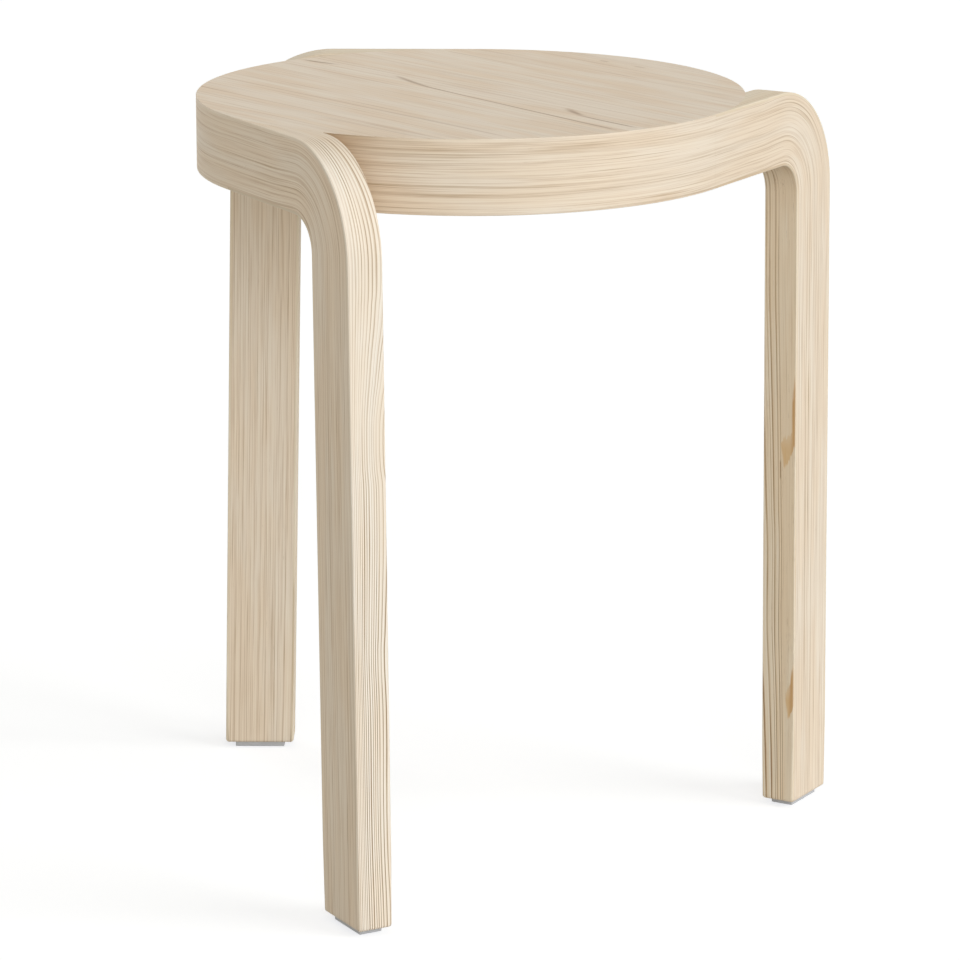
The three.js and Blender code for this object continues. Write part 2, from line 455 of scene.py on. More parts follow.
class Sheet:
    """Places and links shader nodes in one node tree."""

    def __init__(self, tree: Group) -> None:
        """Takes the tree that the nodes go in."""
        self.tree = tree

    @classmethod
    def of(cls, owner: bpy.types.Material | bpy.types.World) -> "Sheet":
        """Empties the node tree of a new material or world.

        Args:
            owner: a new material or world.

        Returns:
            A sheet for its nodes.
        """
        owner.use_nodes = True
        owner.node_tree.nodes.clear()
        return cls(owner.node_tree)

    def add(self, kind: str, **settings: object) -> bpy.types.Node:
        """Adds a node.

        Args:
            kind: the node's type.
            settings: its options by name.

        Returns:
            The new node.
        """
        node = self.tree.nodes.new(kind)
        for name, value in settings.items():
            setattr(node, name, value)
        count = len(self.tree.nodes)
        node.location = (count % 12 * 180, -(count // 12) * 260)
        return node

    def feed(self, socket: Socket, value: Feed) -> None:
        """Links an input, or sets it.

        Args:
            socket: the input.
            value: what it is linked to, or a plain number, vector or colour.
        """
        if isinstance(value, Value):
            value = value.socket
        if isinstance(value, Socket):
            self.tree.links.new(value, socket)
        else:
            socket.default_value = value

    def result(self, kind: str, *values: Feed, **settings: object) -> Value:
        """Adds a node and feeds its inputs in order.

        Args:
            kind: the node's type.
            values: what the first inputs take.
            settings: the node's options by name.

        Returns:
            Its first output.
        """
        node = self.add(kind, **settings)
        for socket, value in zip(node.inputs, values):
            self.feed(socket, value)
        return Value(self, node.outputs[0])

    def math(self, operation: str, *values: Feed, clamp: bool = False) -> Value:
        """Works out one number from others.

        Args:
            operation: the Math node's operation.
            values: the numbers.
            clamp: whether the result stays between zero and one.

        Returns:
            The result.
        """
        return self.result("ShaderNodeMath", *values, operation=operation, use_clamp=clamp)

    def vector(self, operation: str, *values: Feed) -> Value:
        """Works out one vector or colour from others. A number stands for three equal parts."""
        return self.result("ShaderNodeVectorMath", *values, operation=operation)

    def split(self, vector: Feed) -> tuple[Value, Value, Value]:
        """Takes a vector apart.

        Args:
            vector: the vector.

        Returns:
            The parts.
        """
        node = self.add("ShaderNodeSeparateXYZ")
        self.feed(node.inputs[0], vector)
        return tuple(Value(self, part) for part in node.outputs)

    def join(self, x: Feed, y: Feed, z: Feed = 0.0) -> Value:
        """A vector from its parts."""
        return self.result("ShaderNodeCombineXYZ", x, y, z)

    def band(self, value: Feed, low: Feed, high: Feed, to_low: Feed = 0.0, to_high: Feed = 1.0,
             smooth: bool = True) -> Value:
        """Maps a range to another one, held at both ends.

        Args:
            value: what is mapped.
            low: where the range starts.
            high: where it ends.
            to_low: the result at the start.
            to_high: the result at the end.
            smooth: whether the slope eases in and out.

        Returns:
            The result.
        """
        kind = "SMOOTHSTEP" if smooth else "LINEAR"
        return self.result("ShaderNodeMapRange", value, low, high, to_low, to_high, interpolation_type=kind,
                           clamp=True)

    def mix(self, factor: Feed, first: Feed, second: Feed, blend: str = "MIX") -> Value:
        """Mixes two colours.

        Args:
            factor: the share of the second one.
            first: the colour below.
            second: the colour over it.
            blend: how the second one is laid over.

        Returns:
            The mixed colour.
        """
        node = self.add("ShaderNodeMix", data_type="RGBA", blend_type=blend, clamp_factor=True)
        for index, value in ((0, factor), (6, first), (7, second)):
            self.feed(node.inputs[index], value)
        return Value(self, node.outputs[2])

    def paint(self, colour: Feed, mask: Feed, top: Colour, blend: str = "MIX") -> Value:
        """Lays a screen colour over another colour where a mask says."""
        return self.mix(mask, colour, linear(top), blend)

    def noise(self, vector: Feed, scale: Feed = 1.0, detail: Feed = 2.0, roughness: Feed = 0.5) -> Value:
        """Noise from zero to one.

        Args:
            vector: the place.
            scale: how many features lie in a metre.
            detail: how many finer layers are added.
            roughness: how strong they are.

        Returns:
            The noise.
        """
        node = self.add("ShaderNodeTexNoise", noise_dimensions="3D")
        for name, value in (("Vector", vector), ("Scale", scale), ("Detail", detail), ("Roughness", roughness)):
            self.feed(node.inputs[name], value)
        return Value(self, node.outputs[0])

    def curve(self, value: Feed, points: Pairs) -> Value:
        """A smooth curve.

        Args:
            value: the place on it, from zero to one.
            points: (place, value) pairs that it goes through, both from zero to one.

        Returns:
            The curve's value.
        """
        node = self.add("ShaderNodeFloatCurve")
        curve = node.mapping.curves[0]
        while len(curve.points) < len(points):
            curve.points.new(0.5, 0.5)
        for point, (x, y) in zip(curve.points, points):
            point.location = (x, y)
        node.mapping.update()
        self.feed(node.inputs["Value"], value)
        return Value(self, node.outputs[0])

    def along_grain(self, along: Value, points: Pairs, low: float = 0.0, high: float = 1.0) -> Value:
        """A value that changes along the grain.

        Args:
            along: place along the grain.
            points: (millimetres along, value) pairs.
            low: lowest value that the curve can give.
            high: highest value that it can give.

        Returns:
            The value.
        """
        share = self.band(along, GRAIN_START, GRAIN_END, smooth=False)
        spread = (GRAIN_END - GRAIN_START) / MM
        shaped = [((place_mm - GRAIN_START / MM) / spread, (value - low) / (high - low))
                  for place_mm, value in points]
        ends = [(0.0, shaped[0][1])] + shaped + [(1.0, shaped[-1][1])]
        return self.curve(share, ends) * (high - low) + low

    def stripes(self, value: Feed, stripes: Sequence["Stripe"], span: float) -> Value:
        """Tone of stripes over a distance, zero between them.

        Args:
            value: the distance.
            stripes: the stripes in order.
            span: the greatest distance.

        Returns:
            The tone.
        """
        share = self.math("DIVIDE", value, span, clamp=True)
        total: Feed = 0.0
        for first in range(0, len(stripes), STRIPES_IN_RAMP):
            ramp = self.add("ShaderNodeValToRGB")
            elements = ramp.color_ramp.elements
            last = 0.0
            for end in elements:
                end.color = (MID_GREY, MID_GREY, MID_GREY, 1.0)
            for stripe in stripes[first:first + STRIPES_IN_RAMP]:
                for widths, level in stripe.profile():
                    stop = (stripe.place + widths * stripe.width) / span
                    if last + RAMP_STEP < stop < 1.0 - RAMP_STEP:
                        grey = MID_GREY + GREY_OF_TONE * level
                        elements.new(stop).color = (grey, grey, grey, 1.0)
                        last = stop
            self.feed(ramp.inputs["Fac"], share)
            part = self.math("SUBTRACT", ramp.outputs["Color"], MID_GREY)
            total = self.math("MULTIPLY_ADD", part, 1 / GREY_OF_TONE, total)
        return total

    def place(self, group: Group, **inputs: Feed) -> dict[str, Value]:
        """Places a node group.

        Args:
            group: the group.
            inputs: what its inputs take, by name.

        Returns:
            Its outputs by name.
        """
        node = self.add("ShaderNodeGroup")
        node.node_tree = group
        for name, value in inputs.items():
            self.feed(node.inputs[socket_name(name)], value)
        return {plain_name(socket.name): Value(self, socket) for socket in node.outputs}

    def single(self, group: Group, **inputs: Feed) -> Value:
        """Places a node group that puts out one value."""
        (value,) = self.place(group, **inputs).values()
        return value


def socket_name(name: str) -> str:
    """The name that a group's socket shows for a plain one."""
    return name.replace("_", " ").title()


def plain_name(name: str) -> str:
    """The plain name of a group's socket."""
    return name.replace(" ", "_").lower()


class Effects:
    """Shader node groups that more than one finish uses. Each is built once."""

    def __init__(self) -> None:
        """Builds every group, the simple ones first."""
        self.streaks = self._group("drawn_out_streaks", self._streaks, length=50 * MM, width=1 * MM, detail=2.0,
                                   roughness=0.5)
        self.rings = self._group("growth_rings", self._rings, spacing=2 * MM, unevenness=0.5, late_share=0.35)
        self.line = self._group("grain_line", self._line, start=-50 * MM, end=50 * MM, across_start=0.0,
                                across_end=0.0, bow=0.0, width=0.4 * MM, fade=20 * MM, wander=0.5 * MM)
        self.knot = self._group("pin_knot", self._knot, along=0.0, across=0.0, length=10 * MM, width=2 * MM,
                                push=0.6)
        self.sliver = self._group("knot_sliver", self._sliver, start=0.0, widens=30 * MM, end=50 * MM,
                                  strip=2.6 * MM, depth=10 * MM)
        self.dashes = self._group("dark_fibres", self._dashes, length=8 * MM, width=0.3 * MM, amount=0.2)
        self.wear_and_highlight = self._group("edge_wear", self._wear, edge=0.0, unevenness=0.5)

    @staticmethod
    def _group(name: str, body: Callable[[Sheet, SimpleNamespace], dict[str, Value]], **inputs: float) -> Group:
        """Builds a group. Its inputs are a coordinate, the named numbers and a seed.

        Args:
            name: the group's name.
            body: adds the nodes between the inputs and the outputs, and gives the outputs by name.
            inputs: each number's first value.

        Returns:
            The group.
        """
        tree = bpy.data.node_groups.new(name, "ShaderNodeTree")
        firsts = {"coordinate": (0.0, 0.0, 0.0), **inputs, "seed": 0.0}
        for key, value in firsts.items():
            kind = "NodeSocketVector" if key == "coordinate" else "NodeSocketFloat"
            socket = tree.interface.new_socket(socket_name(key), in_out="INPUT", socket_type=kind)
            socket.default_value = value
        sheet = Sheet(tree)
        entry = sheet.add("NodeGroupInput")
        given = {key: Value(sheet, socket) for key, socket in zip(firsts, entry.outputs)}
        results = body(sheet, SimpleNamespace(**given))
        for key in results:
            kind = "NodeSocketVector" if key.startswith("coordinate") else "NodeSocketFloat"
            tree.interface.new_socket(socket_name(key), in_out="OUTPUT", socket_type=kind)
        out = sheet.add("NodeGroupOutput")
        for key, value in results.items():
            sheet.feed(out.inputs[socket_name(key)], value)
        return tree

    def _own_streaks(self, sheet: Sheet, given: SimpleNamespace, length: float, width: float,
                     detail: float) -> Value:
        """Streaks inside another group, at its own coordinate and with its seed."""
        return sheet.single(self.streaks, coordinate=given.coordinate, length=length, width=width, detail=detail,
                            seed=given.seed)

    def _streaks(self, sheet: Sheet, given: SimpleNamespace) -> dict[str, Value]:
        """Noise drawn out along the grain.

        Args:
            sheet: the group's sheet.
            given: its inputs.

        Returns:
            The value from zero to one.
        """
        cell = sheet.join(given.length, given.width, given.width)
        shift = sheet.vector("MULTIPLY", SEED_STEP, given.seed)
        moved = sheet.vector("ADD", sheet.vector("DIVIDE", given.coordinate, cell), shift)
        return {"value": sheet.noise(moved, 1.0, given.detail, given.roughness)}

    def _rings(self, sheet: Sheet, given: SimpleNamespace) -> dict[str, Value]:
        """Growth rings: pale early wood that darkens slowly and ends at a sharp edge of late wood.

        Args:
            sheet: the group's sheet.
            given: its inputs.

        Returns:
            The late wood's mask and each ring's own tone.
        """
        _, across, _ = sheet.split(given.coordinate)
        even = across / given.spacing
        uneven = sheet.noise(sheet.join(given.seed, even), 0.45, 1.0) - 0.5
        phase = uneven * (given.unevenness * 4.0) + even
        share, number = sheet.math("FRACT", phase), sheet.math("FLOOR", phase)
        rise = sheet.band(share, LATE_WOOD_EDGE - given.late_share, LATE_WOOD_EDGE)
        fall = sheet.band(share, LATE_WOOD_EDGE + 0.01, 1.0, 1.0, 0.0)
        white = sheet.add("ShaderNodeTexWhiteNoise", noise_dimensions="1D")
        sheet.feed(white.inputs["W"], number + given.seed)
        return {"late_wood": rise * fall, "tone": Value(sheet, white.outputs["Value"])}

    def _line(self, sheet: Sheet, given: SimpleNamespace) -> dict[str, Value]:
        """One line in the wood that starts and ends, leans and bows.

        Args:
            sheet: the group's sheet.
            given: its inputs.

        Returns:
            The line's mask.
        """
        along, across, _ = sheet.split(given.coordinate)
        share = sheet.band(along, given.start, given.end, smooth=False)
        arch = share * (1.0 - share) * 4.0
        centre = share * (given.across_end - given.across_start) + given.across_start
        centre = arch * given.bow + centre
        centre = (self._own_streaks(sheet, given, 30 * MM, 20 * MM, 1.0) - 0.5) * given.wander + centre
        off = (across - centre) / given.width
        body = sheet.math("EXPONENT", off * off * -1.0)
        into = sheet.band(along, given.start, given.start + given.fade)
        away = sheet.band(along, given.end - given.fade, given.end, 1.0, 0.0)
        return {"mask": body * (into * away)}

    def _knot(self, sheet: Sheet, given: SimpleNamespace) -> dict[str, Value]:
        """A pin knot: a long dark spot that the lines beside it flow round.

        Args:
            sheet: the group's sheet.
            given: its inputs.

        Returns:
            The knot's mask, the mask of what surrounds it, and the coordinate that flows round it.
        """
        along, across, depth = sheet.split(given.coordinate)
        rough = self._own_streaks(sheet, given, 6 * MM, 1.2 * MM, 2.0)
        aside = across - given.across
        off_along, off_across = (along - given.along) / given.length, aside / given.width
        square = off_along * off_along + off_across * off_across
        reach = sheet.math("SQRT", square) + rough * 0.5
        near = sheet.math("EXPONENT", square * -0.16)
        return {
            "mask": sheet.band(reach, 0.65, 1.2, 1.0, 0.0),
            "halo": sheet.band(reach, 0.8, 3.0, 1.0, 0.0),
            "coordinate_bent": sheet.join(along, across - aside * near * given.push, depth),
        }

    def _sliver(self, sheet: Sheet, given: SimpleNamespace) -> dict[str, Value]:
        """A knot cut lengthwise at an edge: a strip along the edge that widens and ends in a ragged point.

        Args:
            sheet: the group's sheet.
            given: its inputs.

        Returns:
            The knot's mask and the mask of its darker heart.
        """
        along, across, _ = sheet.split(given.coordinate)
        rough = self._own_streaks(sheet, given, 12 * MM, 1.1 * MM, 2.0)
        ragged = rough - 0.5
        moved = ragged * given.depth + along
        length = given.end - given.start

        filled = sheet.band(moved, given.start, length * 0.6 + given.start)
        opened = sheet.band(moved, given.widens, given.widens + 9 * MM)
        last = sheet.band(moved, length * -0.22 + given.end, given.end) * given.depth
        width = opened * (given.depth - given.strip) + filled * given.strip
        width = ragged * (1.2 * MM) + (last * -0.2 + width)

        inside = sheet.band(width - across, -0.5 * MM, 0.8 * MM)
        clear = sheet.band(across - last * 0.5, -0.6 * MM, 0.0)
        on_face = sheet.band(across, 0.1 * MM, 0.4 * MM)
        over = sheet.band(moved, given.end, given.end + 2.5 * MM, 1.0, 0.0)
        mask = inside * clear * (on_face * over) * sheet.band(filled, 0.0, 0.9)

        ripened = sheet.band(along, given.widens, given.widens + 14 * MM, 0.35, 1.0)
        at_edge = sheet.band(across, 1.4 * MM, 4 * MM, 1.0, 0.0)
        strength = sheet.math("MAXIMUM", at_edge, (rough * 0.5 + 0.7) * ripened)
        return {"mask": sheet.math("MULTIPLY", strength, mask, clamp=True), "heart": at_edge * mask}

    def _dashes(self, sheet: Sheet, given: SimpleNamespace) -> dict[str, Value]:
        """Short dark fibres that lie along the grain.

        Args:
            sheet: the group's sheet.
            given: its inputs.

        Returns:
            The fibres' mask.
        """
        fine = self._own_streaks(sheet, given, given.length, given.width, 1.0)
        broad = sheet.single(self.streaks, coordinate=given.coordinate, length=50 * MM, width=4 * MM, detail=1.0,
                             seed=given.seed + 4.0)
        low = 0.86 - given.amount * 0.5
        return {"mask": sheet.band((broad - 0.5) * 0.5 + fine, low, low + 0.08)}

    def _wear(self, sheet: Sheet, given: SimpleNamespace) -> dict[str, Value]:
        """Where the edges are painted paler: partly handling wear on the sanded edges, partly a painted highlight
        where the rounded edges catch the light.

        Args:
            sheet: the group's sheet.
            given: its inputs.

        Returns:
            The mask of the paler edges.
        """
        uneven = (self._own_streaks(sheet, given, 12 * MM, 8 * MM, 3.0) - 0.5) * given.unevenness + 1.0
        eased = sheet.band(given.edge, 0.45, 0.95)
        return {"mask": sheet.math("MULTIPLY", eased, uneven, clamp=True)}


# Finishes


class Run(Enum):
    """Which way the stripes of a surface follow each other."""

    ACROSS = "over the width of a face"
    DOWN = "down through the stack"


@dataclass(frozen=True)
class Stripe:
    """A stripe along the grain. Its tone is below zero where it is dark and above zero where it is pale."""

    place: float
    tone: float
    width: float

    def profile(self) -> Pairs:
        """(widths from the middle, tone) stops over the stripe. A dark one has a pale ridge beside it."""
        return ((-1.0, 0.0), (0.0, self.tone), (0.8, max(0.0, -0.55 * self.tone)), (1.7, 0.0))


@dataclass(frozen=True)
class GrainLine:
    """A line in a face that starts and ends, in metres along and across the grain."""

    start: float
    end: float
    across_start: float
    across_end: float
    width: float = 0.5 * MM
    bow: float = 0.0
    strength: float = 0.6
    fade: float = 15 * MM


@dataclass(frozen=True)
class PinKnot:
    """A small knot in a face."""

    along: float
    across: float
    length: float
    width: float
    strength: float
    halo: float
    push: float


@dataclass(frozen=True)
class EdgeKnot:
    """A knot cut lengthwise at a face's edge, in metres along the grain and in from the edge."""

    start: float
    widens: float
    end: float
    depth: float
    strip: float = 2.6 * MM
    strength: float = 0.9


def stripes_from(*rows: tuple[float, float, float]) -> tuple[Stripe, ...]:
    """Stripes from rows of place, tone and width, with place and width in millimetres."""
    return tuple(Stripe(place_mm * MM, tone, width_mm * MM) for place_mm, tone, width_mm in rows)


def lines_from(*rows: tuple[float, ...]) -> tuple[GrainLine, ...]:
    """Lines from rows of start, end, both places across, width and bow in millimetres, and strength."""
    return tuple(GrainLine(*(value * MM for value in row[:6]), strength=row[6]) for row in rows)


def knots_from(*rows: tuple[float, ...]) -> tuple[PinKnot, ...]:
    """Knots from rows of along, across, length and width in millimetres, strength, halo and push."""
    return tuple(PinKnot(*(value * MM for value in row[:4]), *row[4:]) for row in rows)


class Surface(Sheet):
    """The sheet of a new material, with its main shader and what is stamped on the mesh."""

    def __init__(self, name: str) -> None:
        """Starts the material.

        Args:
            name: the material's name.
        """
        self.material = bpy.data.materials.new(name)
        super().__init__(Sheet.of(self.material).tree)
        self.shader = self.add("ShaderNodeBsdfPrincipled")
        output = self.add("ShaderNodeOutputMaterial")
        self.feed(output.inputs["Surface"], self.shader.outputs["BSDF"])
        stamps = {name: self.add("ShaderNodeAttribute", attribute_name=name) for name in ("grain", "edge")}
        self.grain = Value(self, stamps["grain"].outputs["Vector"])
        self.edge = Value(self, stamps["edge"].outputs["Fac"])

    def finish(self, colour: Value, roughness: Value, height: Value, relief: float) -> Finish:
        """Feeds the main shader.

        Args:
            colour: its colour.
            roughness: its roughness.
            height: the fine relief from zero to one.
            relief: the relief's full height in metres.

        Returns:
            The material.
        """
        bump = self.add("ShaderNodeBump")
        bump.inputs["Strength"].default_value = 1.0
        bump.inputs["Distance"].default_value = relief
        self.feed(bump.inputs["Height"], height)
        self.feed(self.shader.inputs["Base Color"], colour)
        self.feed(self.shader.inputs["Roughness"], roughness)
        self.feed(self.shader.inputs["Normal"], bump.outputs["Normal"])
        return self.material


@dataclass(frozen=True)
class Wood:
    """Finish of one wooden surface: its colours, stripes, streaks, lines and knots."""

    name: str
    seed: float
    run: Run = Run.ACROSS
    base: Colour = (241, 230, 212)
    dark: Colour = (196, 171, 137)
    brown: Colour = (156, 122, 88)
    pale: Colour = (252, 246, 234)
    tint: Colour = (252, 245, 236)
    fleck: Colour = (140, 106, 74)
    zero: float = 160 * MM
    sense: float = -1.0
    span: float = 43 * MM
    stripes: tuple[Stripe, ...] = ()
    stripe_break: float = 0.5
    strength_along: Pairs = ()
    stretch: Pairs = ()
    shift: Pairs = ()
    rings: float = 0.0
    ring_spacing: float = 2.4 * MM
    late_share: float = 0.35
    unevenness: float = 0.4
    wander: float = 0.8 * MM
    wander_length: float = 180 * MM
    wander_width: float = 18 * MM
    fine: float = 0.8
    medium: float = 0.9
    calm: float = 0.6
    tint_amount: float = 0.6
    flecks: float = 0.1
    fleck_strength: float = 0.4
    fleck_length: float = 8 * MM
    fleck_width: float = 0.3 * MM
    lines: tuple[GrainLine, ...] = ()
    knots: tuple[PinKnot, ...] = ()
    edge_knots: tuple[EdgeKnot, ...] = ()
    knot_colour: Colour = (226, 192, 144)
    heart_colour: Colour = (206, 160, 110)
    # Colour that darkens the wood along the grain: painted shade on the rim beside each arm and under each bend,
    # and a darker tone on the front arm's top.
    shade_and_tone_along: Pairs = ()
    shade_and_tone: Colour = (211, 199, 184)
    # How strongly the rounded edges are painted pale: partly wear, partly painted highlight.
    wear_and_highlight: float = 0.35
    roughness: float = 0.55
    gloss: float = 0.2
    fine_length: float = 45 * MM
    fine_width: float = 0.45 * MM
    medium_length: float = 200 * MM
    medium_width: float = 1.1 * MM
    relief: float = 0.02 * MM

    def over(self, across: Value) -> Value:
        """Place over the width of the pattern."""
        return across * self.sense + self.zero

    def pattern_place(self, sheet: Surface, effects: Effects) -> tuple[Value, list[dict[str, Value]]]:
        """Where a point lies in the wood's pattern, after knots, stretch, shift and wander.

        Args:
            sheet: the material's sheet.
            effects: the shared node groups.

        Returns:
            The place in the pattern, and what each knot's group puts out.
        """
        along, across, depth = sheet.split(sheet.grain)
        if self.run is Run.ACROSS:
            over, beside = self.over(across), depth
        else:
            over, beside = depth, across * SIDE_SHARE
        pattern = sheet.join(along, over, beside)
        spots = []
        for i, knot in enumerate(self.knots):
            spots.append(sheet.place(effects.knot, coordinate=pattern, along=knot.along, across=knot.across,
                                     length=knot.length, width=knot.width, push=knot.push, seed=self.seed + i))
            pattern = spots[-1]["coordinate_bent"]
        _, over, _ = sheet.split(pattern)
        if self.stretch:
            over = over / sheet.along_grain(along, self.stretch)
        if self.shift:
            over = over + sheet.along_grain(along, self.shift, -SHIFT_LIMIT, SHIFT_LIMIT)
        slow = sheet.single(effects.streaks, coordinate=pattern, length=self.wander_length,
                            width=self.wander_width, detail=1.0, seed=self.seed + 7)
        over = (slow - 0.5) * (self.wander * 2) + over
        return sheet.join(along, over, beside), spots

    def tone(self, sheet: Surface, effects: Effects, pattern: Value) -> tuple[Value, Value, Value]:
        """How dark or pale the wood is: the sum of stripes, rings and streaks.

        Args:
            sheet: the material's sheet.
            effects: the shared node groups.
            pattern: the place in the pattern.

        Returns:
            The tone, the fine streaks and the medium ones.
        """
        def streaks(length: float, width: float, detail: float, seed: float) -> Value:
            """Streaks along the grain."""
            return sheet.single(effects.streaks, coordinate=pattern, length=length, width=width, detail=detail,
                                roughness=0.6, seed=self.seed + seed)

        along, over, _ = sheet.split(pattern)
        fine = streaks(self.fine_length, self.fine_width, 2.0, 1.0)
        medium = streaks(self.medium_length, self.medium_width, 2.0, 2.0)
        force = sheet.band(streaks(110 * MM, 9 * MM, 1.0, 3.0), 0.35, 0.6, 1.0 - self.calm, 1.0)
        total: Value = ((medium - 0.5) * self.medium + (fine - 0.5) * self.fine) * force
        drawn: list[Value] = []
        if self.stripes:
            broken = sheet.band(streaks(80 * MM, 3 * MM, 2.0, 4.0), 0.3, 0.65, 1.0 - self.stripe_break, 1.1)
            drawn.append(sheet.stripes(over, self.stripes, self.span) * broken)
        if self.rings:
            rings = sheet.place(effects.rings, coordinate=pattern, spacing=self.ring_spacing,
                                unevenness=self.unevenness, late_share=self.late_share, seed=self.seed)
            drawn.append(rings["late_wood"] * (rings["tone"] * 0.8 + 0.4) * -self.rings)
        for part in drawn:
            if self.strength_along:
                part = part * sheet.along_grain(along, self.strength_along, high=2.0)
            total = part + total
        return total, fine, medium

    def marked(self, sheet: Surface, effects: Effects, colour: Value, pattern: Value,
               spots: Sequence[dict[str, Value]], fine: Value) -> Value:
        """Draws the lines and the knots.

        Args:
            sheet: the material's sheet.
            effects: the shared node groups.
            colour: the wood's colour without them.
            pattern: the place in the pattern.
            spots: what each knot's group puts out.
            fine: the fine streaks, which break up the marks.

        Returns:
            The wood's colour with them.
        """
        broken = sheet.band(fine, 0.3, 0.6, 0.55, 1.0)
        for i, line in enumerate(self.lines):
            mask = sheet.single(effects.line, coordinate=pattern, start=line.start, end=line.end,
                                across_start=line.across_start, across_end=line.across_end, bow=line.bow,
                                width=line.width, fade=line.fade, seed=self.seed + i)
            colour = sheet.paint(colour, mask * broken * line.strength, self.brown)
        for knot, spot in zip(self.knots, spots):
            colour = sheet.paint(colour, spot["halo"] * knot.halo, self.knot_colour)
            colour = sheet.paint(colour, spot["mask"] * knot.strength, self.brown)
        along, across, depth = sheet.split(sheet.grain)
        for i, knot in enumerate(self.edge_knots):
            sliver = sheet.place(effects.sliver, coordinate=sheet.join(along, self.over(across), depth),
                                 start=knot.start, widens=knot.widens, end=knot.end, strip=knot.strip,
                                 depth=knot.depth, seed=self.seed + i)
            colour = sheet.paint(colour, sliver["mask"] * knot.strength, self.knot_colour)
            heart = sliver["heart"] * sheet.band(fine, 0.35, 0.6, 0.3, 0.9)
            colour = sheet.paint(colour, heart, self.heart_colour)
        # Painted shade on the rim beside each arm and on the inner faces under the bend; on the front arm's top
        # only a darker tone.
        if self.shade_and_tone_along:
            colour = sheet.paint(colour, sheet.along_grain(along, self.shade_and_tone_along), self.shade_and_tone, "MULTIPLY")
        return colour

    def material(self, effects: Effects) -> Finish:
        """Builds the material.

        Args:
            effects: the shared node groups.

        Returns:
            The new material.
        """
        sheet = Surface(self.name)
        pattern, spots = self.pattern_place(sheet, effects)
        tone, fine, medium = self.tone(sheet, effects, pattern)
        wear_and_highlight = sheet.single(effects.wear_and_highlight, coordinate=sheet.grain, edge=sheet.edge, seed=self.seed)
        clouds = sheet.single(effects.streaks, coordinate=pattern, length=90 * MM, width=14 * MM, detail=2.0,
                              seed=self.seed + 5)
        flecks = sheet.single(effects.dashes, coordinate=pattern, length=self.fleck_length,
                              width=self.fleck_width, amount=self.flecks, seed=self.seed + 6)

        colour = sheet.paint(linear(self.base), sheet.band(tone, 0.0, -1.0, smooth=False), self.dark)
        colour = sheet.paint(colour, sheet.band(tone, -0.75, -1.3), self.brown)
        colour = sheet.paint(colour, sheet.band(tone, 0.0, 1.0, smooth=False), self.pale)
        colour = sheet.paint(colour, sheet.band(clouds, 0.35, 0.65) * self.tint_amount, self.tint, "MULTIPLY")
        colour = sheet.paint(colour, flecks * self.fleck_strength, self.fleck)
        colour = self.marked(sheet, effects, colour, pattern, spots, fine)
        # Rounded edges painted paler: partly wear, partly painted highlight.
        colour = sheet.paint(colour, wear_and_highlight * self.wear_and_highlight, self.pale)

        rough = wear_and_highlight * -0.05 + ((medium - 0.5) * 0.16 + self.roughness)
        height = flecks * -0.6 + (tone * -0.4 + fine)
        sheet.shader.inputs["Specular IOR Level"].default_value = self.gloss
        return sheet.finish(colour, rough, height, self.relief)


@dataclass(frozen=True)
class DowelWood:
    """Finish of the dowels: plain rolled hardwood."""

    name: str = "dowel_beech"
    base: Colour = (205, 172, 130)
    dark: Colour = (168, 130, 92)
    fleck: Colour = (130, 92, 60)
    pale: Colour = (226, 200, 165)
    relief: float = 0.04 * MM

    def material(self, effects: Effects) -> Finish:
        """Builds the material.

        Args:
            effects: the shared node groups.

        Returns:
            The new material.
        """
        sheet = Surface(self.name)
        fine = sheet.single(effects.streaks, coordinate=sheet.grain, length=6 * MM, width=0.4 * MM, detail=3.0)
        flecks = sheet.single(effects.dashes, coordinate=sheet.grain, length=2.2 * MM, width=0.2 * MM,
                              amount=0.35, seed=2.0)
        wear_and_highlight = sheet.single(effects.wear_and_highlight, coordinate=sheet.grain, edge=sheet.edge)
        colour = sheet.paint(linear(self.base), sheet.band(fine, 0.3, 0.7), self.dark)
        colour = sheet.paint(colour, flecks * 0.5, self.fleck)
        colour = sheet.paint(colour, wear_and_highlight * 0.3, self.pale)
        return sheet.finish(colour, fine * 0.2 + 0.55, fine, self.relief)


@dataclass(frozen=True)
class GlidePlastic:
    """Finish of the glides: pale grey moulded plastic, scuffed on its lower edge."""

    name: str = "glide_plastic"
    base: Colour = (200, 202, 207)
    pale: Colour = (222, 225, 230)
    scuff: Colour = (150, 150, 148)
    texture_scale: float = 2600.0
    cloud_scale: float = 160.0
    relief: float = 0.02 * MM

    def material(self, effects: Effects) -> Finish:
        """Builds the material.

        Args:
            effects: the shared node groups.

        Returns:
            The new material.
        """
        sheet = Surface(self.name)
        wear_and_highlight = sheet.single(effects.wear_and_highlight, coordinate=sheet.grain, edge=sheet.edge, unevenness=1.2, seed=3.0)
        texture = sheet.noise(sheet.grain, self.texture_scale)
        cloud = sheet.noise(sheet.grain, self.cloud_scale)
        scratches = sheet.single(effects.dashes, coordinate=sheet.grain, length=4 * MM, width=0.2 * MM,
                                 amount=0.3, seed=6.0)
        colour = sheet.vector("MULTIPLY", linear(self.base)[:3], cloud * 0.12 + 0.94)
        colour = sheet.paint(colour, wear_and_highlight * 0.25, self.pale)
        colour = sheet.paint(colour, scratches * 0.35, self.scuff)
        rough = scratches * 0.2 + (texture * 0.18 + 0.36)
        return sheet.finish(colour, rough, texture, self.relief)


